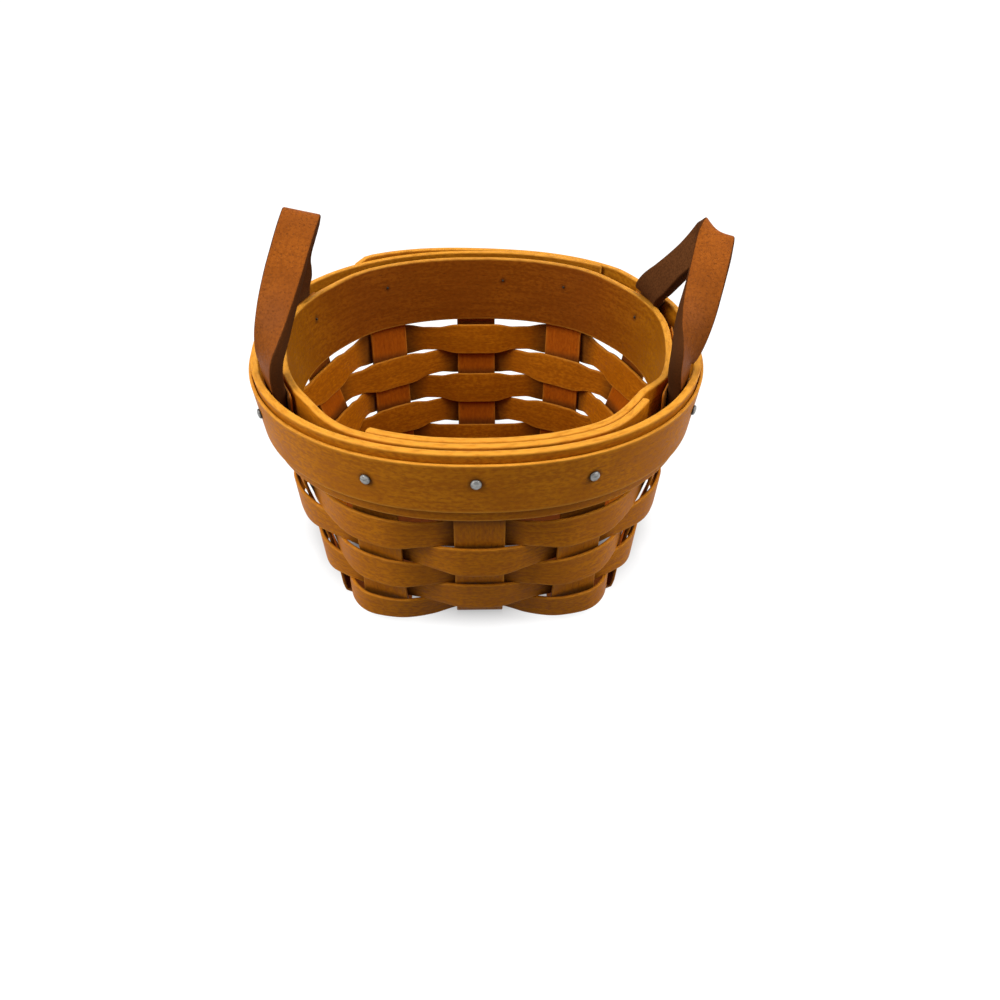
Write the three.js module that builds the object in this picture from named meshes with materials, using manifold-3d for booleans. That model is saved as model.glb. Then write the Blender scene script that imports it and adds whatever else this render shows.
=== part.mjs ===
// Small woven splint basket: six long splints cross on the base and stand up as twelve uprights, five weaver
// rows go round them, three bands are nailed round the rim, and a leather ear stands up at each side.
// Millimetres, +Z up, front is -Y, origin on the floor under the middle. Angles run from the front to +X.
import * as THREE from "three";
import { mergeVertices } from "three/addons/utils/BufferGeometryUtils.js";
import Module from "manifold-3d";

const wasm = await Module();
wasm.setup();

// Overall shape
const RIM_RADIUS = 69.5; // outside of the outer band, front and back
const RIM_HEIGHT = 74.6; // top of the outer band
const BASE_RADIUS = 46.0; // where the wall's curve would meet the floor
const RIM_SQUARENESS = 2.2; // superellipse exponents: 2 is a circle
const BASE_SQUARENESS = 5.0;
const SQUARE_FADE = 2.8; // how much sooner the squareness dies out than the flare
const WALL_CURVE = 2.13; // how fast the flare dies out towards the rim
const SIDE_DRAW = 1.0; // how much nearer the sides stand than the front and the back
const SIDE_HOLLOW = 2.4; // and how much more so at half height
const LOW_HOLLOW = 1.8; // and how much more again low down
const LOW_HOLLOW_AT = 0.17; // where that is most, and how far it reaches, as shares of the height
const LOW_HOLLOW_REACH = 0.21;
const TUCK = 2.0; // how far the bottom edge is rounded in, and over what height
const TUCK_HEIGHT = 4;

// Splints and weavers
const SPLINT_WIDTH = 14.3;
const SPLINT_THICKNESS = 1.0;
const SPLINT_SPACING = 0.6217 * BASE_RADIUS; // middle to middle on the base
const SPLINT_SPLAY = 0.4; // how much further apart they stand at the rim
const BACK_SPREAD = 2.6; // how much further apart the long splints lie at the back of the base
const BACK_SPLAY = 2.6; // and how much more so at the rim
const SPLINT_TOP = RIM_HEIGHT - 1.4;
const BASE_CLEARANCE = 0.3; // between crossing splints on the base
const WEAVER_ROWS = 5;
const WEAVER_THICKNESS = 1.1;
const WEAVER_SWING = 2.6; // middle of a weaver from the middle of the splints
const WEAVER_BOTTOM_SWING = 2.65;
const WEAVER_TOP_GAP = 9.2; // from the outer band down to the middle of the top row
const WEAVER_BOTTOM_ROW = 6.9; // the bottom row stands on the base's rounded edge
const WEAVER_CLEARANCE = 0.2; // between a row and the next
const WEAVER_FULLNESS = 1.7; // how much wider a row is over an upright than where it passes the next row
const WEAVER_BOTTOM_TRIM = 0.1; // how much narrower the bottom row is than the others
const WEAVER_UPRIGHT = 0.6; // share of the wall's slope that a straight weaver doesn't follow higher up
const WEAVER_BOTTOM_UPRIGHT = 0.4; // and that the bottom row doesn't

// Rim bands
const BAND_THICKNESS = 2.2;
const BAND_GAP = 1.25; // from the middle of the splints to the outer band
const INNER_GAP = 1.2; // and to the inner band
const OUTER_BAND_WIDTH = 22.2;
const INNER_BAND_WIDTH = 23.2;
const INNER_BAND_DROP = 0.8; // top of the inner band below the outer band's
const LAYER_GAP = 0.25; // between the two layers of a lapped band
const LAP_STEP = BAND_THICKNESS + LAYER_GAP;
const INNER_LAP = [-28, 50]; // degrees
const OUTER_LAP = [140, 215];
const OUTER_END_LIFT = 1.4;
const TRIM_WIDTH = 15.6;
const TRIM_THICKNESS = 1.0;
const TRIM_DROP = 2.6; // top of the trim below the outer band's
const TRIM_GAP = 0.3;
const TRIM_LAP = [191.5, 201];
const LAP_RAMP = 13; // degrees over which a band steps over its own end
const END_PLAY = 2; // degrees between a band's hidden end and the step over it

const WEAVER_TOP_ROW = RIM_HEIGHT - OUTER_BAND_WIDTH - WEAVER_TOP_GAP;
const WEAVER_PITCH = (WEAVER_TOP_ROW - WEAVER_BOTTOM_ROW) / (WEAVER_ROWS - 1);
const WEAVER_WIDTH = WEAVER_PITCH - WEAVER_CLEARANCE;

// Leather ears
const STRAP_WIDTH = 11;
const STRAP_THICKNESS = 4.0;
const STRAP_SEAT = 0.2; // between a splint and the strap lying on it
const STRAP_PLAY = 0.6; // between the strap and the outer band
const STRAP_SKIVED = 0.3; // how much of the parting is left where the bands end below the strap
const PARTED_WITHIN = 36; // degrees from the side within which the straps part the bands fully
const CLOSED_BEYOND = 60; // and beyond which the bands are closed again
const BACK_CLOSED_BEYOND = 56; // towards the back
const BACK_PARTING = 0.5; // share of the parting at the back, where the strap's ends are thinner
const TAB_LENGTH = 16.6; // from the rim down to the strap's end
const LEFT_EAR_RISE = 33; // from the bending line to the top of the loop's middle
const RIGHT_EAR_RISE = 29;
const EAR_SHOULDER = 7; // how far the legs rise before they lean together
const EAR_DRAW = 0.93; // and how much of their distance is left there
const EAR_CROWN = 3; // half the breadth of the rounded top
const EAR_BACK_DRAW = 0.76; // the same three for the back leg, which is straighter
const EAR_BACK_SHOULDER = 8;
const EAR_BACK_CROWN = 5;
const LEFT_EAR_BOW = 3; // how far the legs belly outwards
const RIGHT_EAR_BOW = 0;
const EAR_BELLY = 0.25; // share of that belly near the top
const LEFT_CROWN_TURN = 0; // degrees by which the top is turned out of line with the rim
const RIGHT_CROWN_TURN = -32;
const BEND_RADIUS = 5.0; // of the loop's rounded foot
const BEND_GAP = 0.3;
const BEND_HEIGHT = RIM_HEIGHT + BEND_RADIUS + 0.4;
const LEFT_LEAN_IN = 14; // degrees
const RIGHT_LEAN_OUT = 25;

// Nails
const NAIL_DROP = 9; // from the rim down to the nails
const NAIL_HEIGHT = RIM_HEIGHT - NAIL_DROP;
const NAIL_HEAD_RADIUS = 1.5;
const NAIL_HEAD_RISE = 0.9;
const NAIL_HEAD_GAP = 0.1;
const NAIL_RADIUS = 0.6;
const NAIL_HOLE_RADIUS = 0.85;
const NAIL_POINT = 1.2;
const NAIL_SHOWS = 0.5; // how far the point comes through inside
const FRONT_NAILS_ASIDE = [1.0, -0.7, -0.5]; // degrees by which the front nails miss the uprights' middles
const FRONT_NAILS_LOWER = [1.0, -0.7, 0.9];
const BACK_NAIL_ASIDE = -9; // degrees by which the middle back nail misses its upright

const WOOD = { color: 0xb5763a, roughness: 0.62, metalness: 0 };
const WOOD_INSIDE = { color: 0x96592c, roughness: 0.68, metalness: 0 };
const LEATHER = { color: 0xa35f2e, roughness: 0.72, metalness: 0 };
const STEEL = { color: 0xa7a6a3, roughness: 0.42, metalness: 0.9 };

const RAD = Math.PI / 180;
const basket = new THREE.Group();

const smooth = (t) => {
  const c = Math.min(Math.max(t, 0), 1);
  return c * c * (3 - 2 * c);
};
const ramp = (x, from, to) => smooth((x - from) / (to - from));
const turnsFrom = (degrees) => ((degrees % 360) + 360) % 360;

function addNode(name, geometry, finish) {
  const mesh = new THREE.Mesh(geometry, new THREE.MeshStandardMaterial(finish));
  mesh.name = name;
  basket.add(mesh);
  return mesh;
}

// The face of the outer band, carried on down to the base: a superellipse at every height
const WALL_IN = BAND_THICKNESS + BAND_GAP; // from that face in to the middle of the splints
function rimRadius(degrees, z) {
  const left = Math.pow(1 - Math.min(z / RIM_HEIGHT, 1), WALL_CURVE);
  const tuck = TUCK * Math.pow(Math.max(1 - z / TUCK_HEIGHT, 0), 2);
  const deep = RIM_RADIUS - (RIM_RADIUS - WALL_IN - BASE_RADIUS) * left - tuck;
  const fromMiddle = (2 * z) / RIM_HEIGHT - 1;
  const low = (z / RIM_HEIGHT - LOW_HOLLOW_AT) / LOW_HOLLOW_REACH;
  const hollow = SIDE_HOLLOW * (1 - fromMiddle * fromMiddle) + LOW_HOLLOW * Math.exp(-low * low);
  const wide = deep - SIDE_DRAW - hollow;
  const n = RIM_SQUARENESS + (BASE_SQUARENESS - RIM_SQUARENESS) * Math.pow(left, SQUARE_FADE);
  const s = Math.abs(Math.sin(degrees * RAD)) / wide;
  const c = Math.abs(Math.cos(degrees * RAD)) / deep;
  return 1 / Math.pow(Math.pow(s, n) + Math.pow(c, n), 1 / n);
}

// The straps part the bands at the sides: fully at the rim, and less and less further down.
const SPREAD = SPLINT_THICKNESS / 2 + STRAP_SEAT + STRAP_THICKNESS + STRAP_PLAY - BAND_GAP;
function partingAt(degrees, z) {
  const fromSide = Math.abs(90 - Math.abs(turnsFrom(degrees + 180) - 180));
  const closed = ((1 - STRAP_SKIVED) * (RIM_HEIGHT - z)) / OUTER_BAND_WIDTH;
  const behind = ramp(-Math.cos(degrees * RAD), -0.3, 0.3);
  const beyond = CLOSED_BEYOND + (BACK_CLOSED_BEYOND - CLOSED_BEYOND) * behind;
  const share = (1 + (BACK_PARTING - 1) * behind) * (1 - ramp(fromSide, PARTED_WITHIN, beyond));
  return SPREAD * share * Math.max(1 - closed, 0);
}

// The middle of the splints
const wallRadius = (degrees, z) => rimRadius(degrees, z) - WALL_IN - partingAt(degrees, z);

// A surface's directions at a point: round the basket, up its side, and straight out of it.
function surfaceFrame(radiusAt, degrees, z) {
  const pointAt = (d, h) => {
    const r = radiusAt(d, h);
    return new THREE.Vector3(r * Math.sin(d * RAD), -r * Math.cos(d * RAD), h);
  };
  const round = pointAt(degrees + 0.5, z).sub(pointAt(degrees - 0.5, z)).normalize();
  const up = pointAt(degrees, z + 0.5).sub(pointAt(degrees, z - 0.5)).normalize();
  const out = new THREE.Vector3().crossVectors(round, up).normalize();
  return { point: pointAt(degrees, z), round, up, out };
}
const wallFrame = (degrees, z) => surfaceFrame(wallRadius, degrees, z);
const rimFrame = (degrees, z) => surfaceFrame(rimRadius, degrees, z);

// The angle at which an upright stands: side 0 is the front, 1 the right, 2 the back, 3 the left.
function uprightAngle(side, place, z) {
  const spacing = side === 2 ? SPLINT_SPACING + BACK_SPREAD : SPLINT_SPACING;
  const splay = side === 2 ? BACK_SPLAY : SPLINT_SPLAY;
  const reach = place * (spacing + (splay * z) / RIM_HEIGHT);
  let turn = 0;
  for (let i = 0; i < 40; i++) turn = Math.asin(reach / wallRadius(90 * side + turn, z)) / RAD;
  return 90 * side + turn;
}

function uprightAngles(z) {
  const angles = [];
  for (let side = 0; side < 4; side++)
    for (const place of [-1, 0, 1]) angles.push(uprightAngle(side, place, z));
  return angles;
}

// A flat strip through a list of stations, each with a middle point, a width direction, a face direction and,
// where it differs, a thickness of its own.
function stripGeometry(stations, width, thickness, closed) {
  const positions = [];
  for (const s of stations) {
    const across = s.across.clone().multiplyScalar((s.width ?? width) / 2);
    const face = s.face.clone().multiplyScalar((s.thickness ?? thickness) / 2);
    for (const [a, f] of [[1, 1], [-1, 1], [-1, -1], [1, -1]])
      positions.push(
        s.point.x + a * across.x + f * face.x,
        s.point.y + a * across.y + f * face.y,
        s.point.z + a * across.z + f * face.z,
      );
  }
  const count = stations.length;
  const index = [];
  const quad = (a, b, c, d) => index.push(a, b, c, a, c, d);
  for (let i = 0; i < (closed ? count : count - 1); i++) {
    const here = 4 * i;
    const next = 4 * ((i + 1) % count);
    for (let k = 0; k < 4; k++) {
      const l = (k + 1) % 4;
      quad(here + k, here + l, next + l, next + k);
    }
  }
  if (!closed) {
    quad(3, 2, 1, 0);
    const last = 4 * (count - 1);
    quad(last, last + 1, last + 2, last + 3);
  }
  const along = stations[1].point.clone().sub(stations[0].point);
  const turned = new THREE.Vector3().crossVectors(stations[0].across, stations[0].face).dot(along) < 0;
  if (turned)
    for (let i = 0; i < index.length; i += 3) [index[i + 1], index[i + 2]] = [index[i + 2], index[i + 1]];
  const geometry = new THREE.BufferGeometry();
  geometry.setAttribute("position", new THREE.Float32BufferAttribute(positions, 3));
  geometry.setIndex(index);
  return geometry;
}

function toSolid(geometry) {
  const bare = new THREE.BufferGeometry();
  bare.setAttribute("position", geometry.getAttribute("position"));
  bare.setIndex(geometry.index);
  const merged = mergeVertices(bare, 1e-4);
  return new wasm.Manifold(
    new wasm.Mesh({
      numProp: 3,
      vertProperties: new Float32Array(merged.getAttribute("position").array),
      triVerts: new Uint32Array(merged.index.array),
    }),
  );
}

function toGeometry(solid) {
  const mesh = solid.getMesh();
  const geometry = new THREE.BufferGeometry();
  geometry.setAttribute("position", new THREE.BufferAttribute(mesh.vertProperties, 3));
  geometry.setIndex(new THREE.BufferAttribute(mesh.triVerts, 1));
  return geometry;
}

// A round solid about its own +Y, from a profile of [radius, height] that starts and ends on the axis.
function turnedGeometry(profile, segments) {
  const positions = [];
  const index = [];
  const rings = profile.slice(1, -1);
  for (const [radius, height] of rings)
    for (let i = 0; i < segments; i++) {
      const angle = (2 * Math.PI * i) / segments;
      positions.push(radius * Math.cos(angle), height, radius * Math.sin(angle));
    }
  positions.push(0, profile[0][1], 0, 0, profile[profile.length - 1][1], 0);
  const first = rings.length * segments;
  const last = (rings.length - 1) * segments;
  for (let i = 0; i < segments; i++) {
    const j = (i + 1) % segments;
    index.push(first, j, i, first + 1, last + i, last + j);
    for (let k = 0; k < rings.length - 1; k++) {
      const a = k * segments;
      const b = a + segments;
      index.push(a + i, b + j, b + i, a + i, a + j, b + j);
    }
  }
  const geometry = new THREE.BufferGeometry();
  geometry.setAttribute("position", new THREE.Float32BufferAttribute(positions, 3));
  geometry.setIndex(index);
  return geometry;
}

// Long splints, each running up one wall, over and under on the base, and up the opposite wall
const WALL_COUNT = 16; // stations up a wall, closer together near the base
const WALL_SHARES = Array.from({ length: WALL_COUNT }, (_, i) => Math.pow((i + 1) / WALL_COUNT, 1.6));
const WALL_STEPS = WALL_SHARES.map((share) => SPLINT_TOP * share);
const TWIST_HEIGHT = 3; // over which a splint turns to lie along the wall
const OVER = SPLINT_THICKNESS * 1.5 + BASE_CLEARANCE;
const UNDER = SPLINT_THICKNESS / 2;

function splintGeometry(side, place, overAtMiddle) {
  const levelAt = (crossing) => ((crossing === 0) === overAtMiddle ? OVER : UNDER);
  const edge = levelAt(1);
  const stations = [];
  const wall = (end, z) => {
    const angle = uprightAngle(end, end === side ? place : -place, z);
    const { point, round } = wallFrame(angle, z);
    const flat = new THREE.Vector3(Math.cos(90 * end * RAD), Math.sin(90 * end * RAD), 0);
    const across = flat.lerp(round, smooth(z / TWIST_HEIGHT)).normalize();
    stations.push({ point, across: end === side ? across : across.negate() });
  };
  const forward = new THREE.Vector3(Math.sin(90 * side * RAD), -Math.cos(90 * side * RAD), 0);
  const across = new THREE.Vector3(Math.cos(90 * side * RAD), Math.sin(90 * side * RAD), 0);
  const flatHalf = SPLINT_WIDTH / 2 + 0.5;
  const foot = wallFrame(uprightAngle(side, place, edge), edge).point;
  const corner = Math.abs(foot.dot(forward));
  const base = (run) => {
    const away = Math.abs(run);
    const t = ramp(away, flatHalf, SPLINT_SPACING - flatHalf);
    const spread = side === 0 ? BACK_SPREAD * Math.min(Math.max(0.5 - run / (2 * corner), 0), 1) : 0;
    const point = forward.clone().multiplyScalar(run);
    point.addScaledVector(across, place * (SPLINT_SPACING + spread));
    point.z = levelAt(0) + (levelAt(1) - levelAt(0)) * t;
    stations.push({ point, across: across.clone() });
  };
  const steps = WALL_STEPS.filter((z) => z > edge + 0.5);
  for (const z of [...steps].reverse()) wall(side, z);
  const climb = SPLINT_SPACING - 2 * flatHalf;
  const half = [0, ...[0, 0.25, 0.5, 0.75, 1].map((t) => flatHalf + t * climb), SPLINT_SPACING, corner - 1];
  for (const run of [...half].reverse()) base(run);
  for (const run of half.slice(1)) base(-run);
  for (const z of steps) wall((side + 2) % 4, z);
  stations.forEach((s, i) => {
    const before = stations[Math.max(i - 1, 0)].point;
    const after = stations[Math.min(i + 1, stations.length - 1)].point;
    const along = after.clone().sub(before).normalize();
    s.across.addScaledVector(along, -s.across.dot(along)).normalize();
    s.face = new THREE.Vector3().crossVectors(along, s.across).normalize();
  });
  return stripGeometry(stations, SPLINT_WIDTH, SPLINT_THICKNESS, false);
}

// One weaver row: in and out of the uprights, swinging level, and steeper than the wall's slope. Inside, the
// bottom row swings up the slope, because the splints are bent up just below it.
function weaverGeometry(row) {
  const bottom = row === WEAVER_ROWS;
  const z = bottom ? WEAVER_BOTTOM_ROW : WEAVER_TOP_ROW - (row - 1) * WEAVER_PITCH;
  const swing = bottom ? WEAVER_BOTTOM_SWING : WEAVER_SWING;
  const angles = uprightAngles(z).sort((a, b) => a - b);
  const steeper = ramp(z, WEAVER_BOTTOM_ROW, WEAVER_TOP_ROW / 2);
  const steep = WEAVER_BOTTOM_UPRIGHT + (WEAVER_UPRIGHT - WEAVER_BOTTOM_UPRIGHT) * steeper;
  const stations = [];
  angles.forEach((angle, k) => {
    const next = k + 1 < angles.length ? angles[k + 1] : angles[0] + 360;
    const half = Math.asin((SPLINT_WIDTH / 2 + 0.6) / wallRadius(angle, z)) / RAD;
    const upright = (k + angles.length - 1) % angles.length;
    const sign = (upright + row) % 2 === 0 ? 1 : -1;
    const steps = [angle, angle + half];
    for (const t of [0.2, 0.4, 0.6, 0.8]) steps.push(angle + half + t * (next - angle - 2 * half));
    steps.push(next - half);
    for (const degrees of steps) {
      const t = ramp(degrees, angle + half, next - half);
      const { point, round, up, out } = wallFrame(degrees, z);
      const offset = swing * sign * (1 - 2 * t);
      const away = bottom && offset < 0 ? out : new THREE.Vector3(round.y, -round.x, 0);
      point.addScaledVector(away, offset);
      const across = up.lerp(new THREE.Vector3(0, 0, 1), steep).normalize();
      const apart = Math.max((Math.abs(1 - 2 * t) - 0.79) / 0.21, 0);
      const fuller = bottom ? -WEAVER_BOTTOM_TRIM : WEAVER_FULLNESS * apart;
      stations.push({ point, across, face: round.cross(across).normalize(), width: WEAVER_WIDTH + fuller });
    }
  });
  return stripGeometry(stations, WEAVER_WIDTH, WEAVER_THICKNESS, true);
}

// A band round the rim from one angle to another, with its middle at a given offset from a surface
function bandGeometry(frameAt, from, to, top, width, thickness, offsetAt, liftAt = () => 0) {
  const z = top - width / 2;
  const count = Math.round((to - from) / 5);
  const stations = [];
  for (let i = 0; i <= count; i++) {
    const degrees = from + ((to - from) * i) / count;
    const { point, up, out } = frameAt(degrees, z);
    point.addScaledVector(out, offsetAt(degrees));
    point.addScaledVector(up, liftAt(degrees));
    stations.push({ point, across: up, face: out });
  }
  return stripGeometry(stations, width, thickness, false);
}

// The outer band starts under its lap, goes once round, steps over its own start and ends on top of it.
const outerLapAt = (degrees) => {
  const t = turnsFrom(degrees);
  return ramp(t, OUTER_LAP[0] - LAP_RAMP - END_PLAY, OUTER_LAP[0] - END_PLAY);
};
const outerBand = bandGeometry(
  rimFrame,
  OUTER_LAP[0],
  OUTER_LAP[1] + 360,
  RIM_HEIGHT,
  OUTER_BAND_WIDTH,
  BAND_THICKNESS,
  (d) => (d > 360 + 90 ? LAP_STEP * outerLapAt(d) : 0) - BAND_THICKNESS / 2,
  (d) => OUTER_END_LIFT * ramp(d, OUTER_LAP[1] + 360 - 50, OUTER_LAP[1] + 360),
);

// The inner band starts on the inside of its lap, steps out past its own end, and ends behind itself.
const innerFaceAt = (degrees) => {
  const stepOut = ramp(degrees, INNER_LAP[1] + END_PLAY, INNER_LAP[1] + END_PLAY + LAP_RAMP);
  return -INNER_GAP - BAND_THICKNESS - LAP_STEP * (1 - stepOut);
};
const innerBand = bandGeometry(
  wallFrame,
  INNER_LAP[0],
  INNER_LAP[1] + 360,
  RIM_HEIGHT - INNER_BAND_DROP,
  INNER_BAND_WIDTH,
  BAND_THICKNESS,
  (d) => innerFaceAt(d) + BAND_THICKNESS / 2,
);

// The trim strip lies on the outer band, rises over its lap, and has a lap of its own at the back.
const trimSeatAt = (degrees) => {
  const t = turnsFrom(degrees);
  const rise = ramp(t, OUTER_LAP[0] - LAP_RAMP - 6, OUTER_LAP[0] - 6);
  const fall = ramp(t, OUTER_LAP[1] + END_PLAY, OUTER_LAP[1] + END_PLAY + LAP_RAMP);
  return TRIM_GAP + LAP_STEP * (rise - fall);
};
const trimStrip = bandGeometry(
  rimFrame,
  TRIM_LAP[0],
  TRIM_LAP[1] + 360,
  RIM_HEIGHT - TRIM_DROP,
  TRIM_WIDTH,
  TRIM_THICKNESS,
  (d) =>
    trimSeatAt(d) +
    TRIM_THICKNESS / 2 +
    (TRIM_THICKNESS + LAYER_GAP) * ramp(d, TRIM_LAP[0] + 360 - 8 - END_PLAY, TRIM_LAP[0] + 360 - END_PLAY),
);

// Ears: one strap each, cut on a round bending line into two clamped tabs and the free loop
function strapGeometry(side, rise, bow, crownTurn) {
  const legAngle = (end, z) => uprightAngle(side > 0 ? 1 : 3, end, z);
  const tab = (end, z) => {
    const angle = legAngle(end, z);
    const { point, round, out } = wallFrame(angle, z);
    const thickness = STRAP_THICKNESS - SPREAD + partingAt(angle, z);
    point.addScaledVector(out, SPLINT_THICKNESS / 2 + STRAP_SEAT + thickness / 2);
    return { point, round, thickness };
  };
  const frontEnd = side > 0 ? -1 : 1;
  const foot = tab(frontEnd, RIM_HEIGHT);
  const chord = Math.abs(foot.point.y);
  const x = foot.point.x;
  const turn = Math.acos(Math.abs(foot.round.x));
  const half = (end, back, draw, shoulder, crown) => {
    const stations = [1, 0.75, 0.5, 0.25, 0].map((share) => {
      const seat = tab(end, RIM_HEIGHT - share * TAB_LENGTH);
      return { ...seat, turn: -back * Math.acos(Math.abs(seat.round.x)), crown: 0 };
    });
    const loop = new THREE.CubicBezierCurve3(
      new THREE.Vector3(x, back * chord, BEND_HEIGHT),
      new THREE.Vector3(x + side * bow, back * chord * draw, BEND_HEIGHT + shoulder),
      new THREE.Vector3(x + side * bow * EAR_BELLY, back * crown, BEND_HEIGHT + rise),
      new THREE.Vector3(x, 0, BEND_HEIGHT + rise),
    );
    const steps = 16;
    for (let i = 0; i <= steps; i++)
      stations.push({
        point: loop.getPoint(i / steps),
        thickness: STRAP_THICKNESS,
        turn: -back * turn * (1 - smooth(i / steps)),
        crown: crownTurn * RAD * smooth(i / steps),
      });
    return stations;
  };
  const whole = half(frontEnd, -1, EAR_DRAW, EAR_SHOULDER, EAR_CROWN).concat(
    half(-frontEnd, 1, EAR_BACK_DRAW, EAR_BACK_SHOULDER, EAR_BACK_CROWN).slice(0, -1).reverse(),
  );
  const stations = whole.map((s, i) => {
    const before = whole[Math.max(i - 1, 0)].point;
    const after = whole[Math.min(i + 1, whole.length - 1)].point;
    const along = after.clone().sub(before).normalize();
    const across = new THREE.Vector3(side * Math.cos(s.turn + s.crown), Math.sin(s.turn + s.crown), 0);
    across.addScaledVector(along, -across.dot(along)).normalize();
    const face = new THREE.Vector3().crossVectors(along, across).normalize();
    return { point: s.point, thickness: s.thickness, across, face };
  });
  return { geometry: stripGeometry(stations, STRAP_WIDTH, STRAP_THICKNESS, false), bendX: x, chord };
}

function addEar(name, side, rise, bow, crownTurn, lean) {
  const { geometry, bendX, chord } = strapGeometry(side, rise, bow, crownTurn);
  const strap = toSolid(geometry);
  const long = 4 * chord;
  const roller = (radius) => {
    const rod = new THREE.CylinderGeometry(radius, radius, long, 40);
    return toSolid(rod.translate(bendX, 0, BEND_HEIGHT));
  };
  const below = toSolid(
    new THREE.BoxGeometry(long, long, BEND_HEIGHT).translate(bendX, 0, BEND_HEIGHT / 2),
  );
  const loop = strap.subtract(below.subtract(roller(BEND_RADIUS)));
  const leant = toGeometry(loop)
    .translate(-bendX, 0, -BEND_HEIGHT)
    .rotateY(lean * RAD)
    .translate(bendX, 0, BEND_HEIGHT);
  addNode(`${name}_ear_loop`, leant, LEATHER);
  const tabs = strap.intersect(below.subtract(roller(BEND_RADIUS + BEND_GAP))).decompose();
  for (const tab of tabs) {
    const end = tab.boundingBox().min[1] < 0 ? "front" : "back";
    nailed.push({ name: `${name}_ear_tab_${end}`, solid: tab, finish: LEATHER });
  }
}

// Pieces that nails pass through are kept as solids until their holes are made.
const nailed = [];
const nail = (name, side, place, aside = 0, lower = 0) => {
  const height = NAIL_HEIGHT - lower;
  const angle = uprightAngle(side, place, height) + aside;
  const { point, out } = rimFrame(angle, height);
  const inside =
    innerFaceAt(turnsFrom(angle - INNER_LAP[0]) + INNER_LAP[0]) - WALL_IN - partingAt(angle, height);
  const seat = trimSeatAt(angle) + TRIM_THICKNESS + NAIL_HEAD_GAP;
  const pose = new THREE.Matrix4()
    .makeRotationFromQuaternion(new THREE.Quaternion().setFromUnitVectors(new THREE.Vector3(0, 1, 0), out))
    .setPosition(point);
  const tip = inside - NAIL_SHOWS;
  const body = turnedGeometry(
    [
      [0, seat + NAIL_HEAD_RISE],
      [NAIL_HEAD_RADIUS * 0.6, seat + NAIL_HEAD_RISE * 0.85],
      [NAIL_HEAD_RADIUS, seat + NAIL_HEAD_RISE * 0.3],
      [NAIL_HEAD_RADIUS, seat],
      [NAIL_RADIUS, seat],
      [NAIL_RADIUS, tip + NAIL_POINT],
      [NAIL_RADIUS / 2, tip],
      [0, tip],
    ],
    10,
  ).applyMatrix4(pose);
  addNode(name, body, STEEL);
  const reach = seat - tip + 4;
  const hole = new THREE.CylinderGeometry(NAIL_HOLE_RADIUS, NAIL_HOLE_RADIUS, reach, 8);
  return toSolid(hole.translate(0, (seat + tip) / 2, 0).applyMatrix4(pose));
};

const PLACES = [-1, 0, 1];
const ACROSS_NAMES = ["left", "middle", "right"];
const ALONG_NAMES = ["front", "middle", "back"];
PLACES.forEach((place, i) => {
  const solid = toSolid(splintGeometry(0, place, place === 0));
  nailed.push({ name: `long_splint_${ACROSS_NAMES[i]}`, solid, finish: WOOD });
});
PLACES.forEach((place, i) => {
  const solid = toSolid(splintGeometry(1, place, place !== 0));
  nailed.push({ name: `cross_splint_${ALONG_NAMES[i]}`, solid, finish: WOOD_INSIDE });
});
for (let row = 1; row <= WEAVER_ROWS; row++) addNode(`weaver_row_${row}`, weaverGeometry(row), WOOD);
nailed.push({ name: "inner_rim_band", solid: toSolid(innerBand), finish: WOOD });
nailed.push({ name: "outer_rim_band", solid: toSolid(outerBand), finish: WOOD });
nailed.push({ name: "rim_trim_strip", solid: toSolid(trimStrip), finish: WOOD });
addEar("left", -1, LEFT_EAR_RISE, LEFT_EAR_BOW, LEFT_CROWN_TURN, LEFT_LEAN_IN);
addEar("right", 1, RIGHT_EAR_RISE, RIGHT_EAR_BOW, RIGHT_CROWN_TURN, RIGHT_LEAN_OUT);

const holes = [];
PLACES.forEach((place, i) => {
  holes.push(nail(`nail_front_${ACROSS_NAMES[i]}`, 0, place, FRONT_NAILS_ASIDE[i], FRONT_NAILS_LOWER[i]));
  holes.push(nail(`nail_back_${ACROSS_NAMES[i]}`, 2, -place, place === 0 ? BACK_NAIL_ASIDE : 0));
});
for (const place of [-1, 1]) {
  holes.push(nail(`nail_right_ear_${place < 0 ? "front" : "back"}`, 1, place));
  holes.push(nail(`nail_left_ear_${place < 0 ? "back" : "front"}`, 3, place));
}
for (const piece of nailed) {
  const drilled = holes.reduce((solid, hole) => solid.subtract(hole), piece.solid);
  addNode(piece.name, toGeometry(drilled), piece.finish);
}

export default basket;
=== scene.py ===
"""Small woven splint basket: its wood, leather and nails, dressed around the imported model.

Sizes in the classes are millimetres and repeat those of the solids; meshes are written in metres.
Angles are degrees from the front (-Y) round towards +X, and up is +Z.
"""
import logging
import math
from dataclasses import dataclass
from enum import Enum
from typing import Callable

import bpy
import numpy as np
from mathutils import Matrix, Vector


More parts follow.
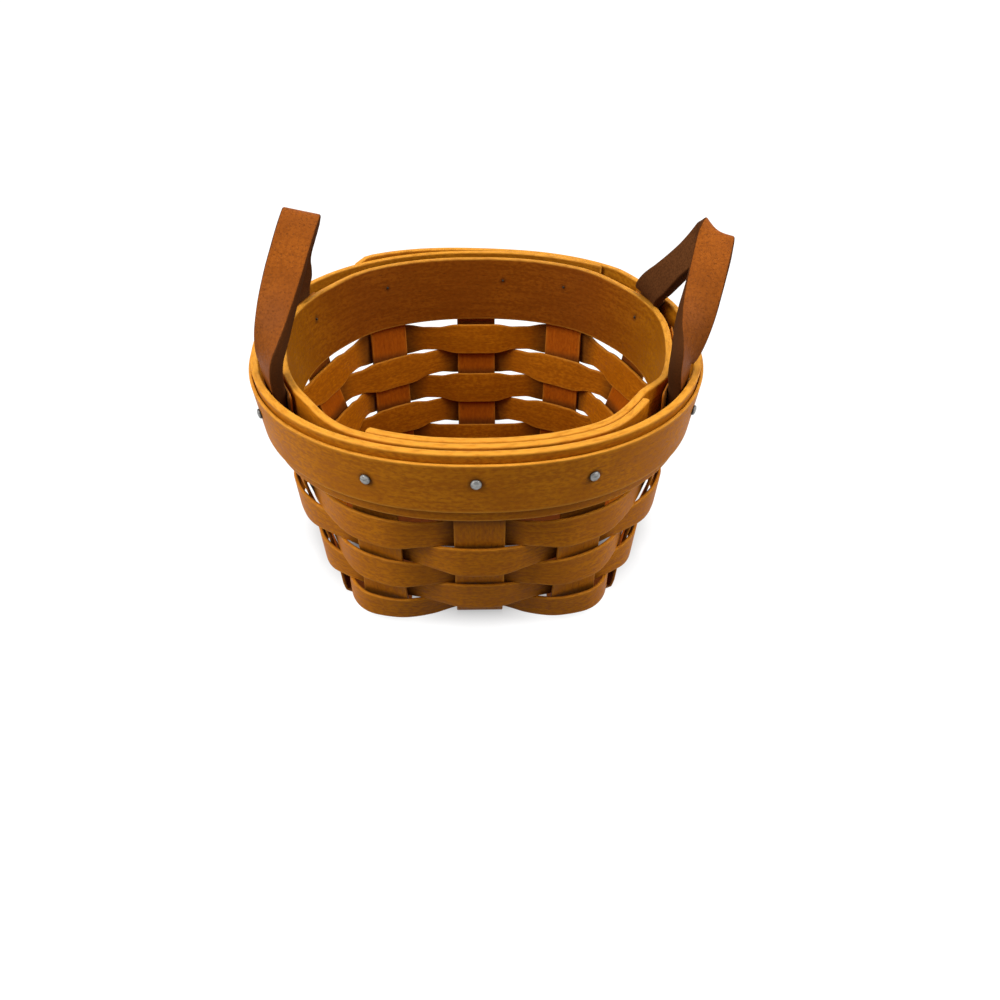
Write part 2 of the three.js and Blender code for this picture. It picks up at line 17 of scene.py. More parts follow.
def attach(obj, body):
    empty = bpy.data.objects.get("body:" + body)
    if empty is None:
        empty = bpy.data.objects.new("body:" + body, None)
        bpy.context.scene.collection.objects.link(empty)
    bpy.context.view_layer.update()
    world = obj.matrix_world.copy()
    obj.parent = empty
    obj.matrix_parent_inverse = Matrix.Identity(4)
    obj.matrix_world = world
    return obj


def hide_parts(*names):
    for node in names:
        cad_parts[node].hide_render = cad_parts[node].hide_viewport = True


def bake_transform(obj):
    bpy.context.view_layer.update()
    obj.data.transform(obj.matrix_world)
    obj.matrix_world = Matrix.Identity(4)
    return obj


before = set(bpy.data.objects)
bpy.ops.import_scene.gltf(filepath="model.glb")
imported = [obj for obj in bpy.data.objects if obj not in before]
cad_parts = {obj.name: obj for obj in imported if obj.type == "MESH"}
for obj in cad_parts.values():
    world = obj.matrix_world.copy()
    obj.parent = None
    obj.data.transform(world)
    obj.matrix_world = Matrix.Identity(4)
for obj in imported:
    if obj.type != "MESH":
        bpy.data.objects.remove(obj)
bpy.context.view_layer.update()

LOG = logging.getLogger("basket")
MM = 0.001
Array = np.ndarray
Colour = tuple[float, float, float]
Triple = tuple[float, float, float]
Span = tuple[float, float]


def smooth(t: Array) -> Array:
    """Soft step: 3t^2 - 2t^3 on t held between 0 and 1."""
    held = np.clip(t, 0.0, 1.0)
    return held * held * (3.0 - 2.0 * held)


def ramp(x: Array, low: float | Array, high: float | Array) -> Array:
    """Soft step of x from 0 at low to 1 at high."""
    return smooth((np.asarray(x, float) - low) / (high - low))


def unit(vectors: Array) -> Array:
    """Vectors divided by their length."""
    return vectors / np.linalg.norm(vectors, axis=-1, keepdims=True)


def wobble(along: Array, seed: int, wavelength: float) -> Array:
    """Slow unevenness of a hand-worked strip: three sines of falling height and seeded phase.

    Args:
        along: Distance along the strip, in millimetres.
        seed: Number of the strip.
        wavelength: Longest wave, in millimetres.
    Returns:
        Values of about -1 to 1.
    """
    phases = np.random.default_rng(seed).uniform(0.0, 2.0 * math.pi, 3)
    waves = np.array([1.0, 0.47, 0.21]) * wavelength
    heights = np.array([0.55, 0.3, 0.15])
    return (heights * np.sin(2.0 * math.pi * along[:, None] / waves + phases)).sum(axis=1)


def placed(name: str, data: bpy.types.ID) -> bpy.types.Object:
    """A new object in the scene, at the origin.

    Args:
        name: Name of the object.
        data: Its mesh, lamp or camera.
    Returns:
        The object.
    """
    added = bpy.data.objects.new(name, data)
    bpy.context.scene.collection.objects.link(added)
    return added


def carry(mesh: bpy.types.Mesh, name: str, values: Array) -> None:
    """Writes one value for each point of a mesh, as an attribute that its finish reads."""
    attribute = mesh.attributes.new(name, "FLOAT", "POINT")
    attribute.data.foreach_set("value", values.astype(np.float32).ravel())


class Side(Enum):
    """The basket's four sides, in order of their angle."""

    FRONT = 0
    RIGHT = 1
    BACK = 2
    LEFT = 3

    @property
    def middle(self) -> float:
        """Angle of the side's middle."""
        return 90.0 * self.value

    @property
    def opposite(self) -> "Side":
        """The side across the basket."""
        return Side((self.value + 2) % len(Side))


@dataclass(frozen=True)
class Directions:
    """Points of a surface with the directions round the basket, up its side and out of it."""

    points: Array
    round: Array
    up: Array
    out: Array


@dataclass(frozen=True)
class BasketForm:
    """The flared form that all pieces follow: a superellipse at every height, squarer towards the base."""

    rim_radius: float = 69.5
    rim_height: float = 74.6
    base_radius: float = 46.0
    rim_squareness: float = 2.2
    base_squareness: float = 5.0
    square_fade: float = 2.8
    wall_curve: float = 2.13
    side_draw: float = 1.0
    side_hollow: float = 2.4
    low_hollow: float = 1.8
    low_hollow_at: float = 0.17
    low_hollow_reach: float = 0.21
    tuck: float = 2.0
    tuck_height: float = 4.0
    wall_in: float = 3.45
    spread: float = 4.05
    skived: float = 0.3
    parted_within: float = 36.0
    closed_beyond: float = 60.0
    back_closed_beyond: float = 56.0
    back_parting: float = 0.5
    band_width: float = 22.2
    splint_spacing: float = 28.6
    splint_splay: float = 0.4
    back_spread: float = 2.6
    back_splay: float = 2.6

    def rim_face(self, degrees: Array, z: Array) -> Array:
        """Radius of the outer band's face, carried on down to the base.

        The half-axes shrink from the rim by a power of the height that is left. The sides are drawn in a
        little, most at half height and, by a bell curve, low down. The radius is
        (|sin/wide|^n + |cos/deep|^n)^(-1/n).

        Args:
            degrees: Angles.
            z: Heights.
        Returns:
            Radii.
        """
        left = (1.0 - np.minimum(z / self.rim_height, 1.0)) ** self.wall_curve
        tuck = self.tuck * np.maximum(1.0 - z / self.tuck_height, 0.0) ** 2
        deep = self.rim_radius - (self.rim_radius - self.wall_in - self.base_radius) * left - tuck
        from_middle = 2.0 * z / self.rim_height - 1.0
        low = (z / self.rim_height - self.low_hollow_at) / self.low_hollow_reach
        hollow = self.side_hollow * (1.0 - from_middle**2) + self.low_hollow * np.exp(-low * low)
        wide = deep - self.side_draw - hollow
        n = self.rim_squareness + (self.base_squareness - self.rim_squareness) * left**self.square_fade
        angle = np.radians(degrees)
        return ((np.abs(np.sin(angle)) / wide) ** n + (np.abs(np.cos(angle)) / deep) ** n) ** (-1.0 / n)

    def parting(self, degrees: Array, z: Array) -> Array:
        """How far the leather parts the bands: most at the sides' rim, less at the back.

        It fades out round the rim and down the bands.

        Args:
            degrees: Angles.
            z: Heights.
        Returns:
            Millimetres.
        """
        from_side = np.abs(90.0 - np.abs(np.mod(degrees + 180.0, 360.0) - 180.0))
        closed = (1.0 - self.skived) * (self.rim_height - z) / self.band_width
        behind = ramp(-np.cos(np.radians(degrees)), -0.3, 0.3)
        beyond = self.closed_beyond + (self.back_closed_beyond - self.closed_beyond) * behind
        most = 1.0 + (self.back_parting - 1.0) * behind
        share = most * (1.0 - ramp(from_side, self.parted_within, beyond))
        return self.spread * share * np.maximum(1.0 - closed, 0.0)

    def wall(self, degrees: Array, z: Array) -> Array:
        """Radius of the middle of the splints: the rim face less the bands and the parting."""
        return self.rim_face(degrees, z) - self.wall_in - self.parting(degrees, z)

    def directions(self, radius_at: Callable[[Array, Array], Array], degrees: Array, z: Array) -> Directions:
        """A surface's points and directions, from differences half a step to each side.

        Args:
            radius_at: The surface, as a radius at an angle and a height.
            degrees: Angles.
            z: Heights.
        Returns:
            Points, and unit vectors round, up and out.
        """
        degrees, z = np.broadcast_arrays(np.asarray(degrees, float), np.asarray(z, float))

        def point(d: Array, h: Array) -> Array:
            """The surface's point at an angle and a height."""
            r = radius_at(d, h)
            return np.stack([r * np.sin(np.radians(d)), -r * np.cos(np.radians(d)), h + 0.0 * d], axis=-1)

        round_ = unit(point(degrees + 0.5, z) - point(degrees - 0.5, z))
        up = unit(point(degrees, z + 0.5) - point(degrees, z - 0.5))
        return Directions(point(degrees, z), round_, up, unit(np.cross(round_, up)))

    def upright_angle(self, side: Side, place: int, z: Array) -> Array:
        """Angle of an upright whose distance from its side's middle is the splints' spacing.

        Args:
            side: The side that it stands on.
            place: -1, 0 or 1 in the direction of growing angle.
            z: Heights.
        Returns:
            Angles, found by repeating turn = asin(reach / radius).
        """
        z = np.asarray(z, float)
        spacing, splay = self.splint_spacing, self.splint_splay
        if side is Side.BACK:
            spacing, splay = spacing + self.back_spread, self.back_splay
        reach = place * (spacing + splay * z / self.rim_height)
        turn = np.zeros_like(z)
        for _ in range(40):
            turn = np.degrees(np.arcsin(reach / self.wall(side.middle + turn, z)))
        return side.middle + turn


@dataclass
class StripPath:
    """Where a flat strip runs: its middle line, width and face directions, and its size at each station."""

    points: Array
    across: Array
    face: Array
    width: Array
    thickness: Array
    closed: bool = False

    def along(self) -> Array:
        """Distance along the middle line, one value more than the stations if the strip is closed."""
        points = np.vstack([self.points, self.points[:1]]) if self.closed else self.points
        return np.concatenate([[0.0], np.cumsum(np.linalg.norm(np.diff(points, axis=0), axis=1))])

    def squared(self) -> "StripPath":
        """The same path with the width direction square to the line, and the face square to both.

        What lies along the line is taken out of the width direction. The face is the cross product of the
        two, on the side on which it was.

        Returns:
            The path.
        """
        if self.closed:
            run = np.roll(self.points, -1, axis=0) - np.roll(self.points, 1, axis=0)
        else:
            run = np.gradient(self.points, axis=0)
        run = unit(run)
        across = unit(self.across - run * (self.across * run).sum(axis=1, keepdims=True))
        face = np.cross(run, across)
        face *= np.sign((face * self.face).sum(axis=1, keepdims=True))
        return StripPath(self.points, across, face, self.width, self.thickness, self.closed)


@dataclass(frozen=True)
class Section:
    """Cross-section of a flat strip: a rectangle with rounded corners."""

    corner: float
    arc_steps: int = 2
    face_at: tuple[float, ...] = (-1.0, -0.95, -0.82, -0.5, -0.17, 0.17, 0.5, 0.82, 0.95, 1.0)

    @classmethod
    def fine(cls, corner: float, edge: float, face: float, count: int, arc_steps: int = 2) -> "Section":
        """A section whose faces have even points out to face, and one more at edge beside each corner."""
        even = np.linspace(-face, face, count).tolist()
        return cls(corner, arc_steps, (-1.0, -edge, *even, edge, 1.0))

    def outline(self) -> tuple[Array, Array, Array, Array]:
        """The outline once round, from the outer face's low edge, as places on an inner rectangle and arcs.

        A point is (place x (half size - corner) + arc x corner) in each of the two directions. The second
        half is the first one turned by half a turn.

        Returns:
            Places across and through, and arcs across and through.
        """
        flat = np.array(self.face_at)
        turn = np.radians(np.linspace(0.0, 90.0, self.arc_steps + 2)[1:-1])
        bend, edge, one = np.ones_like(turn), np.ones(3), np.ones_like(flat)
        place_a = np.concatenate([flat, bend, edge, bend])
        place_f = np.concatenate([one, bend, [1.0, 0.0, -1.0], -bend])
        arc_a = np.concatenate([0.0 * flat, np.sin(turn), edge, np.cos(turn)])
        arc_f = np.concatenate([one, np.cos(turn), 0.0 * edge, -np.sin(turn)])
        place_a, place_f, arc_a, arc_f = (np.concatenate([h, -h]) for h in (place_a, place_f, arc_a, arc_f))
        return place_a, place_f, arc_a, arc_f


class StripMesh:
    """A section carried along a path, with its own strip coordinates, wear attributes and attributes of
    painted shade.
    """

    corner_share: float = 0.9
    worn_edge: Span = (0.15, 0.75)
    worn_end: Span = (0.05, 0.7)
    inner_face: Span = (-0.7, 0.7)
    grain_shift: Span = (731.0, 137.0)

    def __init__(self, path: StripPath, section: Section, seed: int, end_round: float = 0.25) -> None:
        """Works out the grid of points: station by outline.

        Args:
            path: Where the strip runs.
            section: Its cross-section.
            seed: Shifts the strip coordinates, so that no two strips share a grain.
            end_round: How far the ends of an open strip are eased, in millimetres.
        """
        self.path = path
        place_a, place_f, arc_a, arc_f = section.outline()
        length = path.along()
        ease = np.zeros(len(path.points))
        if not path.closed:
            from_end = np.minimum(length, length[-1] - length)
            held = np.clip(from_end / end_round, 0.0, 1.0)
            ease = end_round * (1.0 - np.sqrt(held * (2.0 - held)))
        half_a = path.width[:, None] / 2.0 - ease[:, None]
        half_f = path.thickness[:, None] / 2.0 - ease[:, None]
        corner = np.minimum(section.corner, half_f * self.corner_share)
        a = place_a * (half_a - corner) + arc_a * corner
        f = place_f * (half_f - corner) + arc_f * corner
        sideways = a[..., None] * path.across[:, None, :]
        outwards = f[..., None] * path.face[:, None, :]
        self.points = path.points[:, None, :] + sideways + outwards
        self.cut_edge = 1.0 - ramp(half_a - np.abs(a), *self.worn_edge)
        self.inside = ramp(-f / half_f, *self.inner_face)
        if not path.closed:
            self.cut_edge = np.maximum(self.cut_edge, 1.0 - ramp(from_end, *self.worn_end)[:, None])
        self.strip_u = length + self.grain_shift[0] * seed
        ring = self.points[len(self.points) // 2]
        ring = np.vstack([ring, ring[:1]])
        around = np.concatenate([[0.0], np.cumsum(np.linalg.norm(np.diff(ring, axis=0), axis=1))])
        self.strip_v = around + self.grain_shift[1] * seed
        # Painted shade with nail stains, and painted shade of the inside faces; each piece fills these in.
        self.stain_and_shade = np.zeros(a.shape)
        self.inner_shade = np.zeros(a.shape)

    @property
    def turned(self) -> bool:
        """Whether the outline runs the wrong way round the path for faces that point outwards."""
        run = self.path.points[1] - self.path.points[0]
        return bool(np.dot(np.cross(self.path.across[0], self.path.face[0]), run) < 0.0)

    def faces(self) -> tuple[Array, Array]:
        """The grid's quads with their strip coordinates, turned so that they face outwards.

        Returns:
            Corner indices (n, 4), and strip coordinates (n, 4, 2) in metres.
        """
        n, m = self.points.shape[:2]
        rows = np.arange(n if self.path.closed else n - 1)
        i, j = (g.ravel() for g in np.meshgrid(rows, np.arange(m), indexing="ij"))
        i1, j1 = (i + 1) % n, (j + 1) % m
        quads = np.stack([i * m + j, i1 * m + j, i1 * m + j1, i * m + j1], axis=1)
        u, v = self.strip_u * MM, self.strip_v * MM
        uv = np.stack(
            [np.stack([u[i], v[j]], 1), np.stack([u[i + 1], v[j]], 1),
             np.stack([u[i + 1], v[j + 1]], 1), np.stack([u[i], v[j + 1]], 1)], axis=1
        )
        if self.turned:
            quads, uv = quads[:, ::-1], uv[:, ::-1]
        return quads, uv

    def piece(self, name: str, material: bpy.types.Material) -> bpy.types.Object:
        """Writes the grid to a mesh object.

        Args:
            name: Name of the piece.
            material: Its finish.
        Returns:
            The object, at the origin.
        """
        n, m = self.points.shape[:2]
        quads, uv = self.faces()
        faces = quads.tolist()
        corners = [uv.reshape(-1, 2)]
        if not self.path.closed:
            first, last = np.arange(m), (n - 1) * m + np.arange(m)
            ends = [first[::-1], last] if self.turned else [first, last[::-1]]
            faces += [e.tolist() for e in ends]
            v = self.strip_v[:-1] * MM
            for e, u in zip(ends, (self.strip_u[0], self.strip_u[-1])):
                corners.append(np.stack([np.full(m, u * MM), v[e % m]], axis=1))
        mesh = bpy.data.meshes.new(name)
        mesh.from_pydata((self.points.reshape(-1, 3) * MM).tolist(), [], faces)
        smooth_faces = np.ones(len(faces), bool)
        smooth_faces[len(quads):] = False
        mesh.polygons.foreach_set("use_smooth", smooth_faces)
        layer = mesh.uv_layers.new(name="strip")
        layer.data.foreach_set("uv", np.concatenate(corners).astype(np.float32).ravel())
        for key in ("cut_edge", "inside", "inner_shade", "stain_and_shade"):
            carry(mesh, key, getattr(self, key))
        mesh.materials.append(material)
        mesh.update()
        return placed(name, mesh)


def near(points: Array, centres: Array, inner: float, outer: float) -> Array:
    """A mask that is 1 up to the inner distance from the nearest centre and 0 from the outer one on."""
    distance = np.linalg.norm(points[..., None, :] - centres, axis=-1).min(axis=-1)
    return 1.0 - ramp(distance, inner, outer)


class Board:
    """A node tree with short ways to add nodes and to join them."""

    def __init__(self, tree: bpy.types.NodeTree) -> None:
        """Keeps the tree."""
        self.tree = tree

    def add(self, kind: str, inputs: dict | None = None, **settings: object) -> bpy.types.Node:
        """Adds a node.

        Args:
            kind: Type of the node, without the leading word.
            inputs: Values or sockets by input name or number.
            settings: Properties of the node.
        Returns:
            The node.
        """
        node = self.tree.nodes.new("ShaderNode" + kind)
        for key, value in settings.items():
            setattr(node, key, value)
        self.feed(node, inputs or {})
        return node

    def feed(self, node: bpy.types.Node, inputs: dict) -> None:
        """Sets a node's inputs, or joins them to other nodes.

        Args:
            node: The node.
            inputs: Values or sockets by input name or number.
        """
        for key, value in inputs.items():
            if isinstance(value, bpy.types.NodeSocket):
                self.tree.links.new(value, node.inputs[key])
            else:
                node.inputs[key].default_value = value

    def noise(self, vector: bpy.types.NodeSocket, scale: Triple, detail: float = 2.0) -> bpy.types.NodeSocket:
        """Noise on coordinates that are stretched by a scale for each direction.

        Args:
            vector: The coordinates, in metres.
            scale: Waves to a metre, in each direction.
            detail: How many finer waves are added.
        Returns:
            The noise.
        """
        mapped = self.add("Mapping", {"Vector": vector, "Scale": scale})
        texture = self.add("TexNoise", {"Vector": mapped.outputs[0], "Scale": 1.0, "Detail": detail})
        return texture.outputs[0]

    def step(
        self, value: bpy.types.NodeSocket, low: float, high: float, to: Span = (0.0, 1.0)
    ) -> bpy.types.NodeSocket:
        """Soft step of a value from low to high, put out between the two levels of to."""
        levels = {"Value": value, "From Min": low, "From Max": high, "To Min": to[0], "To Max": to[1]}
        return self.add("MapRange", levels, interpolation_type="SMOOTHSTEP").outputs[0]

    def math(self, operation: str, a: object, b: object = 0.0) -> bpy.types.NodeSocket:
        """One sum, product or other operation on two values."""
        return self.add("Math", {0: a, 1: b}, operation=operation).outputs[0]

    def mix(self, factor: object, a: object, b: object, blend: str = "MIX") -> bpy.types.NodeSocket:
        """Mixes two colours by a factor."""
        node = self.add("Mix", {0: factor, 6: rgba(a), 7: rgba(b)}, data_type="RGBA", blend_type=blend)
        return node.outputs[2]

    def attribute(self, name: str) -> bpy.types.NodeSocket:
        """A value that the mesh carries."""
        return self.add("Attribute", attribute_name=name).outputs["Fac"]

    def bump(self, height: bpy.types.NodeSocket, strength: float, depth: float) -> bpy.types.NodeSocket:
        """Relief of a height, as a normal; its depth is in millimetres."""
        relief = {"Height": height, "Strength": strength, "Distance": depth * MM}
        return self.add("Bump", relief).outputs[0]


def rgba(colour: object) -> object:
    """A colour with full alpha, or a socket as it is."""
    return (*colour, 1.0) if isinstance(colour, tuple) else colour


class SharedEffect(Enum):
    """Effects that more than one finish uses, each a node group that is made once."""

    GRAIN = "wood_grain"
    UNEVEN = "uneven_stain"

    def tree(self) -> bpy.types.NodeTree:
        """The effect's node group, made when it is first asked for.

        Returns:
            The group.
        """
        found = bpy.data.node_groups.get(self.value)
        if found is not None:
            return found
        tree = bpy.data.node_groups.new(self.value, "ShaderNodeTree")
        return grain_group(tree) if self is SharedEffect.GRAIN else uneven_group(tree)


def sockets(tree: bpy.types.NodeTree, inputs: dict[str, str], outputs: dict[str, str]) -> None:
    """Gives a group its named inputs and outputs.

    Args:
        tree: The group.
        inputs: Socket kinds by name.
        outputs: Socket kinds by name.
    """
    for direction, names in (("INPUT", inputs), ("OUTPUT", outputs)):
        for name, kind in names.items():
            tree.interface.new_socket(name=name, in_out=direction, socket_type="NodeSocket" + kind)


def grain_group(tree: bpy.types.NodeTree) -> bpy.types.NodeTree:
    """Wood grain along a strip: long streaks, fine fibres, speckle and short dark flecks.

    Each is noise on the strip's own coordinates, stretched along it. Tone is a soft step of their sum.

    Args:
        tree: The empty group.
    Returns:
        The group, with outputs Tone, Fleck and Height.
    """
    masks = {"Tone": "Float", "Fleck": "Float", "Height": "Float"}
    sockets(tree, {"Strip": "Vector", "Coarse": "Float"}, masks)
    board = Board(tree)
    given = tree.nodes.new("NodeGroupInput")
    wanted = tree.nodes.new("NodeGroupOutput")
    strip = given.outputs["Strip"]
    streaks = board.noise(strip, (40.0, 620.0, 1.0), 3.0)
    fibres = board.noise(strip, (420.0, 2300.0, 1.0), 3.0)
    flecks = board.step(board.noise(strip, (330.0, 1700.0, 1.0), 1.0), 0.62, 0.74)
    coarse = board.noise(strip, (60.0, 1250.0, 1.0), 2.0)
    speckle = board.noise(strip, (620.0, 1050.0, 1.0), 2.0)
    longer = board.math("MULTIPLY", streaks, 0.55)
    fine = board.add("Math", {0: fibres, 1: 0.45, 2: longer}, operation="MULTIPLY_ADD").outputs[0]
    mixed = board.add("Mix", {0: given.outputs["Coarse"], 2: fine, 3: coarse}, data_type="FLOAT").outputs[0]
    mixed = board.math("ADD", mixed, board.math("MULTIPLY", board.math("SUBTRACT", speckle, 0.5), 0.8))
    height = board.math("SUBTRACT", mixed, board.math("MULTIPLY", flecks, 0.3))
    board.feed(wanted, {"Tone": board.step(mixed, 0.34, 0.68), "Fleck": flecks, "Height": height})
    return tree


def uneven_group(tree: bpy.types.NodeTree) -> bpy.types.NodeTree:
    """Uneven stain: soft patches that are a few millimetres to a few centimetres wide.

    Args:
        tree: The empty group.
    Returns:
        The group, with output Patch.
    """
    sockets(tree, {"Place": "Vector", "Size": "Float"}, {"Patch": "Float"})
    board = Board(tree)
    given = tree.nodes.new("NodeGroupInput")
    wanted = tree.nodes.new("NodeGroupOutput")
    texture = board.add(
        "TexNoise", {"Vector": given.outputs["Place"], "Scale": given.outputs["Size"], "Detail": 4.0}
    )
    board.feed(wanted, {"Patch": board.step(texture.outputs[0], 0.38, 0.66)})
    return tree


def new_material(name: str) -> tuple[bpy.types.Material, Board, bpy.types.Node]:
    """An empty node material with its main shader.

    Args:
        name: Name of the finish.
    Returns:
        The material, its board and its Principled shader.
    """
    material = bpy.data.materials.new(name)
    material.use_nodes = True
    tree = material.node_tree
    return material, Board(tree), tree.nodes["Principled BSDF"]


@dataclass(frozen=True)
class WoodFinish:
    """Honey-stained split wood: two tones of grain, pale cut edges, and inside faces darkened and reddened as
    painted shade.
    """

    name: str
    light: Colour
    dark: Colour
    fleck: Colour = (0.16, 0.05, 0.005)
    cut: Colour = (0.74, 0.32, 0.035)
    # The next two tints darken and redden inside faces as painted shade; the colour after them is that of
    # nail stains and painted shade.
    inside_shade_tint: Colour = (0.96, 0.92, 0.6)
    inner_shade_tint: Colour = (0.86, 0.62, 0.6)
    stain_and_shade: Colour = (0.035, 0.012, 0.004)
    coarse: float = 0.0
    mottle: float = 0.4
    patch_scale: float = 70.0
    fleck_strength: float = 0.4
    cut_strength: float = 0.3
    roughness: Span = (0.48, 0.60)
    shine: float = 0.08
    relief: float = 0.10
    relief_strength: float = 0.6

    def material(self) -> bpy.types.Material:
        """The colours one over the other: grain, stain patches, flecks, two tints of painted shade on inside
        faces, edges, then nail stains and painted shade from the mesh.

        Returns:
            The material.
        """
        material, board, shader = new_material(self.name)
        strip = board.add("UVMap", uv_map="strip").outputs[0]
        place = board.add("TexCoord").outputs["Object"]
        grain = board.add(
            "Group", {"Strip": strip, "Coarse": self.coarse}, node_tree=SharedEffect.GRAIN.tree()
        )
        patches = board.add(
            "Group", {"Place": place, "Size": self.patch_scale}, node_tree=SharedEffect.UNEVEN.tree()
        )
        stained = board.math("MULTIPLY", patches.outputs["Patch"], self.mottle)
        flecked = board.math("MULTIPLY", grain.outputs["Fleck"], self.fleck_strength)
        colour = board.mix(grain.outputs["Tone"], self.dark, self.light)
        colour = board.mix(stained, colour, self.dark)
        colour = board.mix(flecked, colour, self.fleck)
        # Painted shade: inside faces darkened and reddened, more where the mesh asks for it.
        colour = board.mix(board.attribute("inside"), colour, self.inside_shade_tint, "MULTIPLY")
        colour = board.mix(board.attribute("inner_shade"), colour, self.inner_shade_tint, "MULTIPLY")
        worn = board.step(board.noise(strip, (260.0, 900.0, 1.0)), 0.25, 0.6, (0.45, 1.0))
        worn = board.math("MULTIPLY", board.attribute("cut_edge"), worn)
        colour = board.mix(board.math("MULTIPLY", worn, self.cut_strength), colour, self.cut)
        # Painted shade in creases, under the band and on the base inside, and real nail stains, as the mesh
        # gives them.
        colour = board.mix(board.attribute("stain_and_shade"), colour, self.stain_and_shade)
        rough = board.step(grain.outputs["Tone"], 0.0, 1.0, self.roughness)
        bump = board.bump(grain.outputs["Height"], self.relief_strength, self.relief)
        board.feed(
            shader,
            {"Base Color": colour, "Roughness": rough, "Specular IOR Level": self.shine, "Normal": bump},
        )
        return material


@dataclass(frozen=True)
class LeatherFinish:
    """Saddle leather: pebbled tan grain side, dark fuzzy flesh side and burnished dark edges."""

    name: str = "saddle_leather"
    light: Colour = (0.32, 0.083, 0.007)
    dark: Colour = (0.20, 0.048, 0.004)
    flesh_light: Colour = (0.15, 0.053, 0.015)
    flesh_dark: Colour = (0.085, 0.029, 0.008)
    edge: Colour = (0.055, 0.018, 0.005)
    patch_scale: float = 110.0
    pebble_scale: float = 1250.0
    roughness: Span = (0.5, 0.85)
    shine: float = 0.045
    relief: float = 0.13
    relief_strength: float = 0.55

    def material(self) -> bpy.types.Material:
        """Tan patches and pebbles on the grain side, then the flesh side and edges where the mesh says so.

        Returns:
            The material.
        """
        material, board, shader = new_material(self.name)
        place = board.add("TexCoord").outputs["Object"]
        patches = board.add(
            "Group", {"Place": place, "Size": self.patch_scale}, node_tree=SharedEffect.UNEVEN.tree()
        )
        cells = board.add("TexVoronoi", {"Vector": place, "Scale": self.pebble_scale}, feature="SMOOTH_F1")
        pebble = cells.outputs["Distance"]
        pores = board.step(board.noise(place, (1900.0, 1900.0, 1900.0), 2.0), 0.56, 0.7)
        fuzz = board.noise(place, (2400.0, 2400.0, 1500.0), 4.0)
        tan = board.mix(board.math("MULTIPLY", patches.outputs["Patch"], 0.5), self.light, self.dark)
        tan = board.mix(board.math("MULTIPLY", board.step(pebble, 0.25, 0.7), 0.55), tan, self.dark)
        tan = board.mix(board.math("MULTIPLY", pores, 0.35), tan, self.edge)
        flesh = board.mix(board.step(fuzz, 0.35, 0.65), self.flesh_dark, self.flesh_light)
        side = board.step(board.attribute("inside"), 0.25, 0.75)
        colour = board.mix(side, tan, flesh)
        ragged = board.math("ADD", board.attribute("cut_edge"), board.math("MULTIPLY", fuzz, 0.5))
        edge = board.step(ragged, 0.75, 1.2)
        colour = board.mix(board.math("MULTIPLY", edge, 0.9), colour, self.edge)
        # Painted shade: darker towards the strap's lower ends, as the mesh gives it.
        colour = board.mix(board.attribute("stain_and_shade"), colour, self.edge)
        rough = board.step(board.math("ADD", side, edge), 0.0, 1.0, self.roughness)
        grained = board.math("SUBTRACT", pebble, pores)
        height = board.add("Mix", {0: side, 2: grained, 3: fuzz}, data_type="FLOAT").outputs[0]
        bump = board.bump(height, self.relief_strength, self.relief)
        board.feed(
            shader,
            {"Base Color": colour, "Roughness": rough, "Specular IOR Level": self.shine, "Normal": bump},
        )
        return material


@dataclass(frozen=True)
class SteelFinish:
    """Dull steel of the nails: bright brushed tops with grime round their edges."""

    name: str = "dull_nail_steel"
    bright: Colour = (0.34, 0.34, 0.33)
    dull: Colour = (0.16, 0.16, 0.155)
    shade_and_grime: Colour = (0.022, 0.014, 0.008)
    metal: float = 0.6
    roughness: Span = (0.32, 0.55)
    relief: float = 0.05
    relief_strength: float = 0.35

    def material(self) -> bpy.types.Material:
        """Two greys by noise, dark where the mesh says that the head's edge is.

        Returns:
            The material.
        """
        material, board, shader = new_material(self.name)
        place = board.add("TexCoord").outputs["Object"]
        scuff = board.noise(place, (900.0, 900.0, 2200.0), 3.0)
        colour = board.mix(board.step(scuff, 0.35, 0.65), self.dull, self.bright)
        colour = board.mix(board.attribute("stain_and_shade"), colour, self.shade_and_grime)
        rough = board.step(scuff, 0.3, 0.7, self.roughness)
        bump = board.bump(scuff, self.relief_strength, self.relief)
        board.feed(
            shader, {"Base Color": colour, "Roughness": rough, "Metallic": self.metal, "Normal": bump}
        )
        return material


def hand_over(piece: bpy.types.Object, body: str, slot: str, *nodes: str) -> None:
    """Puts a finished piece on its body in place of its solids, and reports it.

    Args:
        piece: The piece.
        body: The body that it rides on.
        slot: Name of a material slot; not used.
        nodes: The solids that it stands for.
    """
    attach(piece, body)
    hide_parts(*nodes)
    LOG.info("%s: %d faces on %s", piece.name, len(piece.data.polygons), body)


